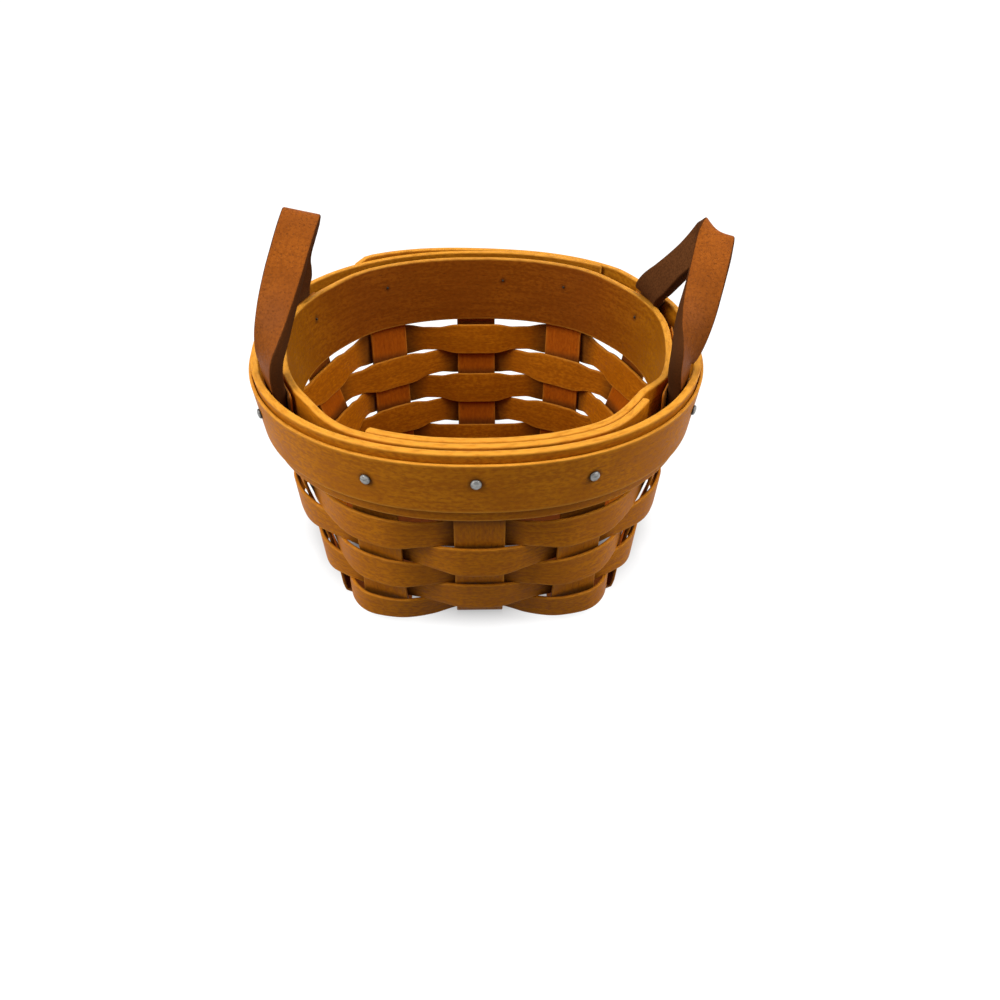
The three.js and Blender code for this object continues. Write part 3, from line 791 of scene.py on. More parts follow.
@dataclass
class Weave:
    """Five weaver rows that go in and out of the uprights, each opposite to the next."""

    form: BasketForm
    rows: int = 5
    splint_width: float = 14.3
    thickness: float = 1.1
    swing: float = 2.6
    fullness: float = 1.7
    full_from: float = 0.25
    back_fullness: float = 2.5
    back_full_by: float = 0.9
    back_lay: float = 0.4
    flat_share: float = 0.35
    bottom_swing: float = 2.65
    top_row: float = 43.2
    bottom_row: float = 6.9
    clearance: float = 0.2
    bottom_trim: float = 0.1
    upright_share: float = 0.6
    bottom_upright_share: float = 0.4
    upright_play: float = 0.6
    unevenness: float = 0.06
    corner: float = 0.28
    # Painted shade, with some grime, on the face of a row that goes behind an upright.
    shade_and_grime: float = 0.72
    shaded_from: Span = (0.1, 0.95)
    # Painted shade on the rows' inside faces.
    inner_shade: float = 0.25
    stations: int = 900
    first_strip: int = 10
    finish: WoodFinish = WoodFinish("weaver_wood", (0.55, 0.182, 0.005), (0.38, 0.110, 0.003))

    @property
    def pitch(self) -> float:
        """Height from one row to the next."""
        return (self.top_row - self.bottom_row) / (self.rows - 1)

    def covered(self, side: Side, place: int, z: Array) -> tuple[Array, Array]:
        """Where rows lie on an upright, a little beyond their edges, where painted crease shade, with some
        grime, is laid.

        Args:
            side: The upright's side.
            place: -1, 0 or 1.
            z: Heights along it.
        Returns:
            Masks of its outer and its inner face.
        """
        upright = 3 * side.value + place + 1
        masks = [np.zeros_like(z), np.zeros_like(z)]
        half = (self.pitch + self.fullness) / 2.0
        for row in range(1, self.rows + 1):
            face = (upright + len(Side) * 3 - 1 + row) % 2
            away = np.abs(z - self.top_row + (row - 1) * self.pitch)
            masks[face] = np.maximum(masks[face], 1.0 - ramp(away, half - 1.0, half + 1.6))
        return masks[0], masks[1]

    def path(self, row: int) -> tuple[StripPath, Array]:
        """Once round at a row's height, outside one upright and inside the next.

        Between two uprights the distance from the wall steps softly from +swing to -swing or back. It is
        level, but the bottom row goes up the slope where it is inside. The strip's width stands steeper
        than the wall, because a straight strip can't follow its flare, and less so at the back.

        Args:
            row: 1 at the top to 5 at the bottom.
        Returns:
            A closed path, and the share of the swing at each station.
        """
        form = self.form
        z = self.top_row - (row - 1) * self.pitch
        bottom = row == self.rows
        swing = self.bottom_swing if bottom else self.swing
        level = np.array([z])
        uprights = np.sort([form.upright_angle(s, p, level)[0] for s in Side for p in (-1, 0, 1)])
        half_width = self.splint_width / 2.0 + self.upright_play
        half = np.degrees(np.arcsin(half_width / form.wall(uprights, level)))
        ends = np.append(uprights, uprights[0] + 360.0)
        degrees = uprights[0] + np.arange(self.stations) * 360.0 / self.stations
        k = np.searchsorted(ends, degrees, side="right") - 1
        t = ramp(degrees, ends[k] + self.flat_share * half[k], ends[k + 1] - self.flat_share * half[k])
        sign = np.where((k + len(uprights) - 1 + row) % 2 == 0, 1.0, -1.0)
        where = form.directions(form.wall, degrees, np.full(self.stations, z))
        steeper = ramp(z, self.bottom_row, self.top_row / 2.0)
        steep = self.bottom_upright_share + (self.upright_share - self.bottom_upright_share) * steeper
        behind = ramp(-np.cos(np.radians(degrees)), 0.0, 0.7)
        steep = (steep * (1.0 - self.back_lay * behind))[:, None]
        across = unit((1.0 - steep) * where.up + steep * np.array([0.0, 0.0, 1.0]))
        share = sign * (1.0 - 2.0 * t)
        offset = (swing * share)[:, None]
        sideways = np.column_stack([where.round[:, 1], -where.round[:, 0], 0.0 * degrees])
        points = where.points + np.where((offset < 0.0) & bottom, where.out, sideways) * offset
        face = unit(np.cross(where.round, across))
        widths = self.widths(row, np.radians(degrees), share, behind)
        thickness = np.full(self.stations, self.thickness)
        return StripPath(points, across, face, widths, thickness, closed=True), share

    def widths(self, row: int, turn: Array, share: Array, behind: Array) -> Array:
        """A row's width: the pitch less a clearance, more over an upright, and two low sines of unevenness.

        It is fuller over an upright than where it squeezes past the next row, and most so at the back. The
        bottom row is the same all round.

        Args:
            row: 1 at the top to 5 at the bottom.
            turn: Angles in radians.
            share: Share of the swing, 1 or -1 over an upright.
            behind: 1 at the back, 0 at the front.
        Returns:
            Widths.
        """
        uneven = 0.6 * np.sin(5.0 * turn + row) + 0.4 * np.sin(13.0 * turn + 2.0 * row)
        if row == self.rows:
            return self.pitch - self.clearance - self.bottom_trim + self.unevenness * uneven
        fullness = self.fullness + (self.back_fullness - self.fullness) * behind
        full_by = 1.0 + (self.back_full_by - 1.0) * behind
        fuller = fullness * ramp(np.abs(share), self.full_from, full_by)
        return self.pitch - self.clearance + fuller + self.unevenness * uneven

    def build(self) -> None:
        """Makes the five rows, with painted shade, and some grime, on the face that goes behind an upright.
        """
        material = self.finish.material()
        for row in range(1, self.rows + 1):
            path, share = self.path(row)
            mesh = StripMesh(path.squared(), Section(self.corner), self.first_strip + row)
            # Painted shade where a face goes behind an upright, and on the inside faces.
            hidden = share[:, None] * (2.0 * mesh.inside - 1.0)
            mesh.stain_and_shade = self.shade_and_grime * ramp(hidden, *self.shaded_from)
            mesh.inner_shade = self.inner_shade * mesh.inside
            piece = mesh.piece(f"weaver_row_{row}_wood", material)
            hand_over(piece, "basket", "weaver_wood", f"weaver_row_{row}")


@dataclass
class Splints:
    """Six flat splints that cross on the base and stand up as twelve uprights."""

    form: BasketForm
    weave: Weave
    width: float = 14.3
    thickness: float = 1.0
    top_drop: float = 1.4
    base_clearance: float = 0.3
    twist_height: float = 3.0
    foot_radius: float = 1.0
    crossing_play: float = 0.5
    band_edge: float = 52.4
    # Painted shadow under the band, painted shade where the rows cover a splint, and painted shade with some
    # dirt on the base inside.
    band_shade: float = 1.4
    shade_below: Span = (5.0, 1.0)
    wall_from: Span = (1.5, 6.0)
    shade_and_grime: float = 0.62
    base_dirt_and_shade: float = 0.68
    unevenness: float = 0.12
    uneven_wave: float = 60.0
    corner: float = 0.22
    wall_stations: int = 90
    base_stations: int = 121
    foot_crowding: float = 1.6
    finish: WoodFinish = WoodFinish("splint_wood", (0.54, 0.175, 0.006), (0.42, 0.122, 0.004), coarse=0.4)

    def stain_and_shade(self, side: Side, place: int, mesh: StripMesh) -> Array:
        """Painted shade, with some grime, where the rows and the band cover a splint and just beyond, and
        painted shade with some dirt on the base inside.

        Args:
            side: The wall at which the splint starts.
            place: -1, 0 or 1.
            mesh: The splint.
        Returns:
            A value for each point.
        """
        points = mesh.path.points
        turn = math.radians(side.middle)
        first = points @ np.array([math.sin(turn), -math.cos(turn), 0.0]) > 0.0
        z = points[:, 2]
        ends = self.weave.covered(side, place, z), self.weave.covered(side.opposite, -place, z)
        outer, inner = (np.where(first, ends[0][face], ends[1][face]) for face in (0, 1))
        # Painted shadow under the band's lower edge.
        shade_from, shade_full = (self.band_edge - below for below in self.shade_below)
        outer = np.maximum(outer, ramp(z, shade_from, shade_full) * self.band_shade)
        shade = (1.0 - mesh.inside) * outer[:, None] + mesh.inside * inner[:, None]
        on_wall = ramp(z, *self.wall_from)[:, None]
        return self.shade_and_grime * shade * on_wall + self.base_dirt_and_shade * mesh.inside * (1.0 - on_wall)

    def path(self, side: Side, place: int, over_at_middle: bool, seed: int) -> StripPath:
        """Down one wall, over and under across the base, and up the opposite wall.

        On the base the height steps softly between the lower and the upper level of a crossing. On the
        walls the splint follows the wall's middle surface, and turns to lie along it over the first
        millimetres.

        Args:
            side: The wall at which it starts, FRONT or RIGHT.
            place: -1, 0 or 1.
            over_at_middle: Whether it lies on top at the middle crossing.
            seed: Number of the splint.
        Returns:
            Its path.
        """
        form = self.form
        over, under = 1.5 * self.thickness + self.base_clearance, 0.5 * self.thickness
        middle, outer = (over, under) if over_at_middle else (under, over)
        shares = np.linspace(0.0, 1.0, self.wall_stations + 1)[1:] ** self.foot_crowding
        heights = (form.rim_height - self.top_drop) * shares
        heights = heights[heights > outer + 0.5]
        turn = math.radians(side.middle)
        forward = np.array([math.sin(turn), -math.cos(turn), 0.0])
        across = np.array([math.cos(turn), math.sin(turn), 0.0])

        def wall(end: Side) -> tuple[Array, Array]:
            """The way up one wall.

            Args:
                end: The wall.
            Returns:
                Points and width directions.
            """
            sign = 1.0 if end is side else -1.0
            angle = form.upright_angle(end, int(place * sign), heights)
            where = form.directions(form.wall, angle, heights)
            turned = smooth(heights / self.twist_height)[:, None]
            return where.points, unit((1.0 - turned) * across + turned * where.round * sign)

        near_wall, near_across = wall(side)
        far_wall, far_across = wall(side.opposite)
        low = np.array([outer])
        foot = form.directions(form.wall, form.upright_angle(side, place, low), low)
        reach = abs(float(foot.points[0] @ forward))
        run = np.linspace(reach - self.foot_radius, self.foot_radius - reach, self.base_stations)
        flat = self.width / 2.0 + self.crossing_play
        level = middle + (outer - middle) * ramp(np.abs(run), flat, form.splint_spacing - flat)
        spread = form.back_spread * (0.5 - run / (2.0 * reach)) if side is Side.FRONT else 0.0 * run
        base = run[:, None] * forward + (place * (form.splint_spacing + spread))[:, None] * across
        base[:, 2] = level
        points = np.vstack([near_wall[::-1], base, far_wall])
        widths = np.vstack([near_across[::-1], np.tile(across, (len(run), 1)), far_across])
        count = len(points)
        face = np.cross(unit(np.gradient(points, axis=0)), widths)
        sizes = np.full(count, self.width), np.full(count, self.thickness)
        path = StripPath(points, widths, face, *sizes).squared()
        path.width = path.width + self.unevenness * wobble(path.along(), seed, self.uneven_wave)
        if path.face[len(near_wall) + self.base_stations // 2, 2] > 0.0:
            path.face = -path.face
        return path

    def build(self) -> None:
        """Makes the three long splints and the three cross splints."""
        material = self.finish.material()
        seed = 1
        for side, prefix, names in (
            (Side.FRONT, "long_splint", ("left", "middle", "right")),
            (Side.RIGHT, "cross_splint", ("front", "middle", "back")),
        ):
            for place, name in zip((-1, 0, 1), names):
                over = (place == 0) == (side is Side.FRONT)
                mesh = StripMesh(self.path(side, place, over, seed), Section(self.corner), seed)
                mesh.stain_and_shade = self.stain_and_shade(side, place, mesh)
                # Painted shade on the splint's inside faces.
                mesh.inner_shade = mesh.inside
                piece = mesh.piece(f"{prefix}_{name}_wood", material)
                hand_over(piece, "basket", "splint_wood", f"{prefix}_{name}")
                seed += 1


@dataclass
class RimBands:
    """The lapped inner and outer rim bands, and the thin trim strip nailed on the outer one."""

    form: BasketForm
    thickness: float = 2.2
    inner_gap: float = 1.2
    outer_width: float = 22.2
    inner_width: float = 23.2
    inner_drop: float = 0.8
    layer_gap: float = 0.25
    inner_lap: Span = (-28.0, 50.0)
    outer_lap: Span = (140.0, 215.0)
    outer_end_lift: float = 1.4
    lifted_from: float = 310.0
    outer_end_clip: float = 4.2
    outer_end_slope: float = 1.4
    outer_start_taper: float = 16.0
    outer_start_share: float = 0.2
    second_round: float = 450.0
    trim_width: float = 15.6
    trim_thickness: float = 1.0
    trim_drop: float = 2.6
    trim_gap: float = 0.3
    trim_lap: Span = (191.5, 201.0)
    trim_corner: float = 0.3
    trim_early: float = 6.0
    trim_ramp: float = 8.0
    lap_ramp: float = 13.0
    end_play: float = 2.0
    corner: float = 0.45
    stain: float = 0.8
    head_stain: Span = (1.2, 2.7)
    point_stain: Span = (0.4, 2.0)
    # Painted shade on the inner band's inside towards the back.
    back_shade: float = 0.2
    back_shade_from: Span = (5.0, 50.0)
    step: float = 0.6
    strips: tuple[int, int, int] = (21, 22, 23)
    # The band's inside faces are darkened as painted shade.
    finish: WoodFinish = WoodFinish(
        "band_wood", (0.56, 0.190, 0.006), (0.39, 0.115, 0.003), inside_shade_tint=(0.70, 0.74, 0.6), mottle=0.55,
        cut_strength=0.8,
    )

    @property
    def lap_step(self) -> float:
        """How far a band steps over its own end."""
        return self.thickness + self.layer_gap

    def inner_face(self, degrees: Array) -> Array:
        """Offset of the inner band's inside face from the wall: one layer further in before its lap's end.

        Args:
            degrees: Angles from the start of the lap.
        Returns:
            Offsets.
        """
        start = self.inner_lap[1] + self.end_play
        step_out = ramp(degrees, start, start + self.lap_ramp)
        return -self.inner_gap - self.thickness - self.lap_step * (1.0 - step_out)

    def outer_offset(self, degrees: Array) -> Array:
        """Offset of the outer band's middle from the rim face: one layer further out on its own lap.

        Args:
            degrees: Angles from the start of the lap, on past 360 where it comes round again.
        Returns:
            Offsets.
        """
        start = self.outer_lap[0] - self.end_play
        step = ramp(np.mod(degrees, 360.0), start - self.lap_ramp, start)
        return np.where(degrees > self.second_round, self.lap_step * step, 0.0) - self.thickness / 2.0

    def trim_seat(self, degrees: Array) -> Array:
        """Offset of the trim's seat from the rim face: it rises over the outer band's lap and falls again.

        Args:
            degrees: Angles.
        Returns:
            Offsets.
        """
        turn = np.mod(degrees, 360.0)
        first, last = self.outer_lap
        rise = ramp(turn, first - self.lap_ramp - self.trim_early, first - self.trim_early)
        fall = ramp(turn, last + self.end_play, last + self.end_play + self.lap_ramp)
        return self.trim_gap + self.lap_step * (rise - fall)

    def trim_offset(self, degrees: Array) -> Array:
        """Offset of the trim's middle: its seat, and one layer more on its own lap.

        Args:
            degrees: Angles from the start of the lap.
        Returns:
            Offsets.
        """
        start = self.trim_lap[0] + 360.0 - self.end_play
        own = (self.trim_thickness + self.layer_gap) * ramp(degrees, start - self.trim_ramp, start)
        return self.trim_seat(degrees) + self.trim_thickness / 2.0 + own

    def path(
        self, radius_at: Callable[[Array, Array], Array], lap: Span, top: float, width: float,
        thickness: float, offset: Callable[[Array], Array], lift: float = 0.0,
    ) -> StripPath:
        """Once round from the start of a lap to its end, at an offset from a surface.

        Args:
            radius_at: The surface that the band follows.
            lap: Angles between which the band lies on itself.
            top: Height of its upper edge.
            width: Its width.
            thickness: Its thickness.
            offset: Distance of its middle from the surface, by angle.
            lift: How far its last end stands up.
        Returns:
            An open path.
        """
        count = int((lap[1] + 360.0 - lap[0]) / self.step)
        degrees = np.linspace(lap[0], lap[1] + 360.0, count + 1)
        where = self.form.directions(radius_at, degrees, np.full(count + 1, top - width / 2.0))
        raised = lift * ramp(degrees, lap[1] + self.lifted_from, lap[1] + 360.0)
        points = where.points + where.out * offset(degrees)[:, None] + where.up * raised[:, None]
        size = np.full(count + 1, 1.0)
        return StripPath(points, where.up, where.out, width * size, thickness * size)

    def build(self, nail_heads: Array, nail_points: Array) -> None:
        """Makes the two bands and the trim, with stains where the nails go through.

        The outer band's hidden start is thinned out. Its last end is clipped: the upper edge falls
        straight over the last few millimetres. The inner band's inside is darker at the back, a painted
        shade.

        Args:
            nail_heads: Seats of the nail heads.
            nail_points: Where the nails come through inside.
        """
        form, material = self.form, self.finish.material()
        inner = self.path(
            form.wall, self.inner_lap, form.rim_height - self.inner_drop, self.inner_width, self.thickness,
            lambda degrees: self.inner_face(degrees) + self.thickness / 2.0,
        )
        outer = self.path(
            form.rim_face, self.outer_lap, form.rim_height, self.outer_width, self.thickness,
            self.outer_offset, self.outer_end_lift,
        )
        along = outer.along()
        clipped = self.outer_end_slope * np.maximum(self.outer_end_clip - along[-1] + along, 0.0)
        thin = self.outer_start_share
        outer.thickness = outer.thickness * (thin + (1.0 - thin) * ramp(along, 0.0, self.outer_start_taper))
        outer.width = outer.width - clipped
        outer.points = outer.points - outer.across * clipped[:, None] / 2.0
        trim = self.path(
            form.rim_face, self.trim_lap, form.rim_height - self.trim_drop, self.trim_width,
            self.trim_thickness, self.trim_offset,
        )
        section = Section.fine(self.corner, 0.97, 0.9, 17)
        within = StripMesh(inner.squared(), section, self.strips[0])
        without = StripMesh(outer.squared(), section, self.strips[1])
        over = StripMesh(trim.squared(), Section.fine(self.trim_corner, 0.97, 0.9, 17), self.strips[2])
        # Painted shade: the inner band's inside darker towards the back, and nail stains.
        within.inner_shade = within.inside * ramp(within.points[..., 1], *self.back_shade_from)
        pricked = self.stain * near(within.points, nail_points, *self.point_stain)
        within.stain_and_shade = np.maximum(pricked, self.back_shade * within.inner_shade)
        over.stain_and_shade = self.stain * near(over.points, nail_heads, *self.head_stain)
        for name, mesh in (("inner_rim_band", within), ("outer_rim_band", without), ("rim_trim_strip", over)):
            hand_over(mesh.piece(f"{name}_wood", material), "basket", "band_wood", name)


@dataclass(frozen=True)
class EarLeg:
    """How half a loop goes from the bend to the top: the handles of its curve, and where it untwists.

    start and draw are shares of the half span, shoulder and crown are the handles' height and length, and
    untwist gives the shares of the way up between which the strap turns from the band to face the rim.
    """

    start: float
    bend: float
    draw: float
    shoulder: float
    crown: float
    untwist: Span


@dataclass
class LeatherEar:
    """One strap whose ends are clamped between the bands and whose middle stands up as a loop."""

    form: BasketForm
    name: str
    side: Side
    rise: float
    bow: float
    lean: float
    front: EarLeg
    back: EarLeg
    crown_turn: float = 0.0
    turned_from: float = 2.0
    turned_by: float = 0.9
    width: float = 11.0
    thickness: float = 4.0
    loop_thickness: float = 3.6
    seat: float = 0.2
    splint_thickness: float = 1.0
    tab_length: float = 16.6
    belly: float = 0.25
    bend_height: float = 80.0
    bend_reach: float = 5.0
    corner: float = 0.7
    # Painted shade: the strap darker towards its lower ends.
    shade_and_grime: float = 0.4
    shaded_between: Span = (76.0, 108.0)
    unevenness: float = 0.15
    uneven_wave: float = 45.0
    uneven_seed: int = 40
    evening: float = 5.0
    tab_stations: int = 18
    leg_stations: int = 70
    stations: int = 320
    first_strip: int = 30

    @property
    def outwards(self) -> float:
        """1 on the right, -1 on the left."""
        return 1.0 if self.side is Side.RIGHT else -1.0

    def tab(self, back: float) -> tuple[Array, Array, Array]:
        """A clamped end, up the wall on its upright.

        Args:
            back: -1 for the front end, 1 for the back end.
        Returns:
            Points, turns of the width direction out of X, and thicknesses.
        """
        form = self.form
        z = form.rim_height - self.tab_length * np.linspace(1.0, 0.0, self.tab_stations)
        angle = form.upright_angle(self.side, int(self.outwards * back), z)
        where = form.directions(form.wall, angle, z)
        thick = self.thickness - form.spread + form.parting(angle, z)
        out = self.splint_thickness / 2.0 + self.seat + thick / 2.0
        turn = -back * np.arccos(np.abs(where.round[:, 0]))
        return where.points + where.out * out[:, None], turn, thick

    def half(self, back: float, leg: EarLeg) -> tuple[Array, Array, Array]:
        """One half: its clamped end, then a cubic curve from the bend to the loop's top.

        Args:
            back: -1 for the front half, 1 for the back half.
            leg: Its curve.
        Returns:
            Points, turns of the width direction out of X, and thicknesses.
        """
        points, turn, thick = self.tab(back)
        foot, foot_turn, _ = self.tab(-1.0)
        x, chord = foot[-1, 0], abs(foot[-1, 1]) * back
        bow, top = self.outwards * self.bow, self.bend_height + self.rise
        knots = np.array(
            [[x, chord * leg.start, leg.bend], [x + bow, chord * leg.draw, self.bend_height + leg.shoulder],
             [x + bow * self.belly, back * leg.crown, top], [x, 0.0, top]]
        )
        t = np.linspace(0.0, 1.0, self.leg_stations)[:, None]
        weights = (1 - t) ** 3, 3 * (1 - t) ** 2 * t, 3 * (1 - t) * t**2, t**3
        curve = sum(weight * knot for weight, knot in zip(weights, knots))
        untwist = -back * foot_turn[-1] * (1.0 - ramp(t[:, 0], *leg.untwist))
        thin = self.thickness + (self.loop_thickness - self.thickness) * ramp(t[:, 0], 0.0, 0.3)
        return np.vstack([points, curve]), np.concatenate([turn, untwist]), np.concatenate([thick, thin])

    def path(self) -> StripPath:
        """The whole strap: the front half and the back half, evened out, then leant over along its bend.

        The top is turned out of line with the rim. Every point is then turned about the bending line by
        the lean, which grows softly from the rim upwards.

        Returns:
            An open path.
        """
        bend_x = self.tab(-1.0)[0][-1, 0]
        front, back = self.half(-1.0, self.front), self.half(1.0, self.back)
        points = np.vstack([front[0][:-1], back[0][::-1]])
        turn, thick = (np.concatenate([front[k][:-1], back[k][::-1]]) for k in (1, 2))
        length = np.concatenate([[0.0], np.cumsum(np.linalg.norm(np.diff(points, axis=0), axis=1))])
        even = np.linspace(0.0, length[-1], self.stations)
        table = np.column_stack([points, turn, thick])
        table = np.column_stack([np.interp(even, length, column) for column in table.T])
        table = evened(table, self.evening)
        points, turn, thick = table[:, :3], table[:, 3], table[:, 4]
        height = points[:, 2]
        turned = ramp(
            height, self.bend_height + self.turned_from, self.bend_height + self.turned_by * self.rise
        )
        turn = turn + np.radians(self.crown_turn) * turned
        across = np.column_stack([self.outwards * np.cos(turn), np.sin(turn), 0.0 * turn])
        leaning = ramp(height, self.form.rim_height - 1.0, self.bend_height + self.bend_reach)
        lean = np.radians(self.lean) * leaning
        points = turned_about(points, lean, bend_x, self.bend_height)
        across = turned_about(across, lean, 0.0, 0.0)
        face = np.cross(unit(np.gradient(points, axis=0)), across)
        face = face if face[self.stations // 2, 2] > 0.0 else -face
        path = StripPath(points, across, face, np.full(self.stations, self.width), thick).squared()
        seed = self.uneven_seed + self.side.value
        path.width = path.width + self.unevenness * wobble(path.along(), seed, self.uneven_wave)
        return path

    def build(self, material: bpy.types.Material) -> None:
        """Makes the strap, which runs from the basket to its ear, hides the ear's solids, and bakes its place
        into the mesh.

        Args:
            material: The leather.
        """
        path = self.path()
        section = Section.fine(self.corner, 0.96, 0.88, 15, arc_steps=3)
        mesh = StripMesh(path, section, self.first_strip + self.side.value, end_round=0.6)
        # Painted shade towards the strap's lower ends.
        mesh.stain_and_shade = self.shade_and_grime * (1.0 - ramp(mesh.points[..., 2], *self.shaded_between))
        piece = mesh.piece(f"{self.name}_ear_strap", material)
        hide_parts(f"{self.name}_ear_loop", f"{self.name}_ear_tab_front", f"{self.name}_ear_tab_back")
        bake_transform(piece)
        LOG.info("%s: %d faces, bends from basket to %s_ear", piece.name, len(piece.data.polygons), self.name)


def evened(table: Array, spread: float) -> Array:
    """Columns smoothed by a bell-shaped average over neighbouring rows, with the ends carried on straight.

    Args:
        table: Values (rows, columns).
        spread: Width of the bell, in rows.
    Returns:
        A table of the same size.
    """
    reach = int(3 * spread)
    bell = np.exp(-0.5 * (np.arange(-reach, reach + 1) / spread) ** 2)
    bell /= bell.sum()
    before = 2.0 * table[0] - table[reach:0:-1]
    after = 2.0 * table[-1] - table[-2:-reach - 2:-1]
    long = np.vstack([before, table, after])
    return np.column_stack([np.convolve(column, bell, mode="valid") for column in long.T])


def turned_about(points: Array, angle: Array, x: float, z: float) -> Array:
    """Points turned about a line along Y: right-handed, each by its own angle.

    Args:
        points: Points or directions (n, 3).
        angle: Angles in radians (n).
        x: Place of the line.
        z: Its height.
    Returns:
        The turned points.
    """
    dx, dz = points[:, 0] - x, points[:, 2] - z
    cos, sin = np.cos(angle), np.sin(angle)
    return np.column_stack([x + dx * cos + dz * sin, points[:, 1], z - dx * sin + dz * cos])


@dataclass
class Nails:
    """Ten nails through trim, bands, splints and leather, with low domed heads."""

    form: BasketForm
    bands: RimBands
    drop: float = 9.0
    head_radius: float = 1.5
    head_rise: float = 0.9
    head_gap: float = 0.1
    shank: float = 0.6
    point: float = 1.2
    shows: float = 0.5
    front_aside: Triple = (1.0, -0.7, -0.5)
    front_lower: Triple = (1.0, -0.7, 0.9)
    back_aside: float = -9.0
    dome: tuple[Span, ...] = (
        (0.0, 1.0), (0.35, 0.97), (0.62, 0.88), (0.83, 0.72), (0.95, 0.5), (1.0, 0.26), (0.985, 0.06),
        (0.93, 0.0),
    )
    edge_grime: float = 0.8
    edge_grime_from: float = 0.88
    clean_depth: float = 1.2
    segments: int = 36
    finish: SteelFinish = SteelFinish()

    def places(self) -> list[tuple[str, Side, int, float, float]]:
        """Where the nails are.

        Returns:
            Every nail's name with its side and upright, and how far aside and how much lower it is.
        """
        names, uprights = ("left", "middle", "right"), (-1, 0, 1)
        found = [
            (f"nail_front_{name}", Side.FRONT, upright, aside, lower)
            for name, upright, aside, lower in zip(names, uprights, self.front_aside, self.front_lower)
        ]
        found += [
            (f"nail_back_{name}", Side.BACK, -upright, self.back_aside * (upright == 0), 0.0)
            for name, upright in zip(names, uprights)
        ]
        for ear, side, front in (("right", Side.RIGHT, -1), ("left", Side.LEFT, 1)):
            for end, upright in (("front", front), ("back", -front)):
                found.append((f"nail_{ear}_ear_{end}", side, upright, 0.0, 0.0))
        return found

    def axis(self, side: Side, place: int, aside: float, lower: float) -> tuple[Array, Array, float, float]:
        """A nail's point on the rim face, its direction out, and how far out its head and its point are.

        Args:
            side: The side.
            place: The upright on that side.
            aside: Degrees by which it misses the upright's middle.
            lower: How much lower than the others it is.
        Returns:
            Point, direction, seat of the head, and tip.
        """
        z = np.array([self.form.rim_height - self.drop - lower])
        angle = self.form.upright_angle(side, place, z) + aside
        where = self.form.directions(self.form.rim_face, angle, z)
        start = self.bands.inner_lap[0]
        inside = self.bands.inner_face(np.mod(angle - start, 360.0) + start)
        tip = inside - self.form.wall_in - self.form.parting(angle, z) - self.shows
        seat = self.bands.trim_seat(angle) + self.bands.trim_thickness + self.head_gap
        return where.points[0], where.out[0], float(seat[0]), float(tip[0])

    def heads_and_points(self) -> tuple[Array, Array]:
        """Where the nails stain the wood.

        Returns:
            Where the heads sit, and where the points come through.
        """
        axes = [self.axis(*place) for _, *place in self.places()]
        heads = np.array([p + out * seat for p, out, seat, _ in axes])
        return heads, np.array([p + out * tip for p, out, _, tip in axes])

    def build(self) -> None:
        """Makes each nail: a profile turned about its direction, closed by a point at both ends.

        The head's profile is the dome's shares of its radius and rise. Grime lies round the head's edge and
        on the pin.
        """
        material = self.finish.material()
        for name, *place in self.places():
            middle, out, seat, tip = self.axis(*place)
            head = np.array(self.dome) * (self.head_radius, self.head_rise) + (0.0, seat)
            pin = [
                [self.shank, seat], [self.shank, tip + self.point], [0.6 * self.shank, tip + 0.3],
                [0.2 * self.shank, tip + 0.03], [0.0, tip],
            ]
            profile = np.vstack([head, pin])
            radius, depth = profile[:, 0], profile[1, 1] - profile[:, 1]
            edge = ramp(radius, self.edge_grime_from * self.head_radius, self.head_radius) * self.edge_grime
            stain_and_shade = np.where(depth > self.clean_depth, 1.0, edge)
            piece = turned_piece(f"{name}_steel", profile, stain_and_shade, middle, out, self.segments, material)
            hand_over(piece, "basket", "nail_steel", name)


def turned_piece(
    name: str, profile: Array, stain_and_shade: Array, middle: Array, out: Array, segments: int,
    material: bpy.types.Material,
) -> bpy.types.Object:
    """A profile of (radius, distance) turned about a direction: rings of points, and a pole at each end.

    Args:
        name: Name of the piece.
        profile: Profile from the outer pole to the inner pole.
        stain_and_shade: Grime at each point of the profile.
        middle: Point that the distances are measured from.
        out: Direction of the axis.
        segments: Points round a ring.
        material: Its finish.
    Returns:
        The object, at the origin.
    """
    first = unit(np.cross(out, np.array([0.0, 0.0, 1.0])))
    second = np.cross(out, first)
    angle = np.linspace(0.0, 2.0 * math.pi, segments, endpoint=False)
    spoke = np.cos(angle)[:, None] * first + np.sin(angle)[:, None] * second
    rings = profile[1:-1]
    points = middle + rings[:, 1, None, None] * out + rings[:, 0, None, None] * spoke
    poles = middle + profile[[0, -1], 1][:, None] * out
    count = len(rings)
    i, j = (g.ravel() for g in np.meshgrid(np.arange(count - 1), np.arange(segments), indexing="ij"))
    j1 = (j + 1) % segments
    row, next_row = i * segments, (i + 1) * segments
    quads = np.stack([row + j, next_row + j, next_row + j1, row + j1], axis=1)
    k = np.arange(segments)
    k1 = (k + 1) % segments
    top = np.stack([np.full(segments, count * segments), k, k1], axis=1)
    last = (count - 1) * segments
    low = np.stack([np.full(segments, count * segments + 1), last + k1, last + k], axis=1)
    mesh = bpy.data.meshes.new(name)
    vertices = np.vstack([points.reshape(-1, 3), poles]) * MM
    mesh.from_pydata(vertices.tolist(), [], quads.tolist() + top.tolist() + low.tolist())
    mesh.polygons.foreach_set("use_smooth", np.ones(len(mesh.polygons), bool))
    carry(mesh, "stain_and_shade", np.concatenate([np.repeat(stain_and_shade[1:-1], segments), stain_and_shade[[0, -1]]]))
    mesh.materials.append(material)
    mesh.update()
    return placed(name, mesh)


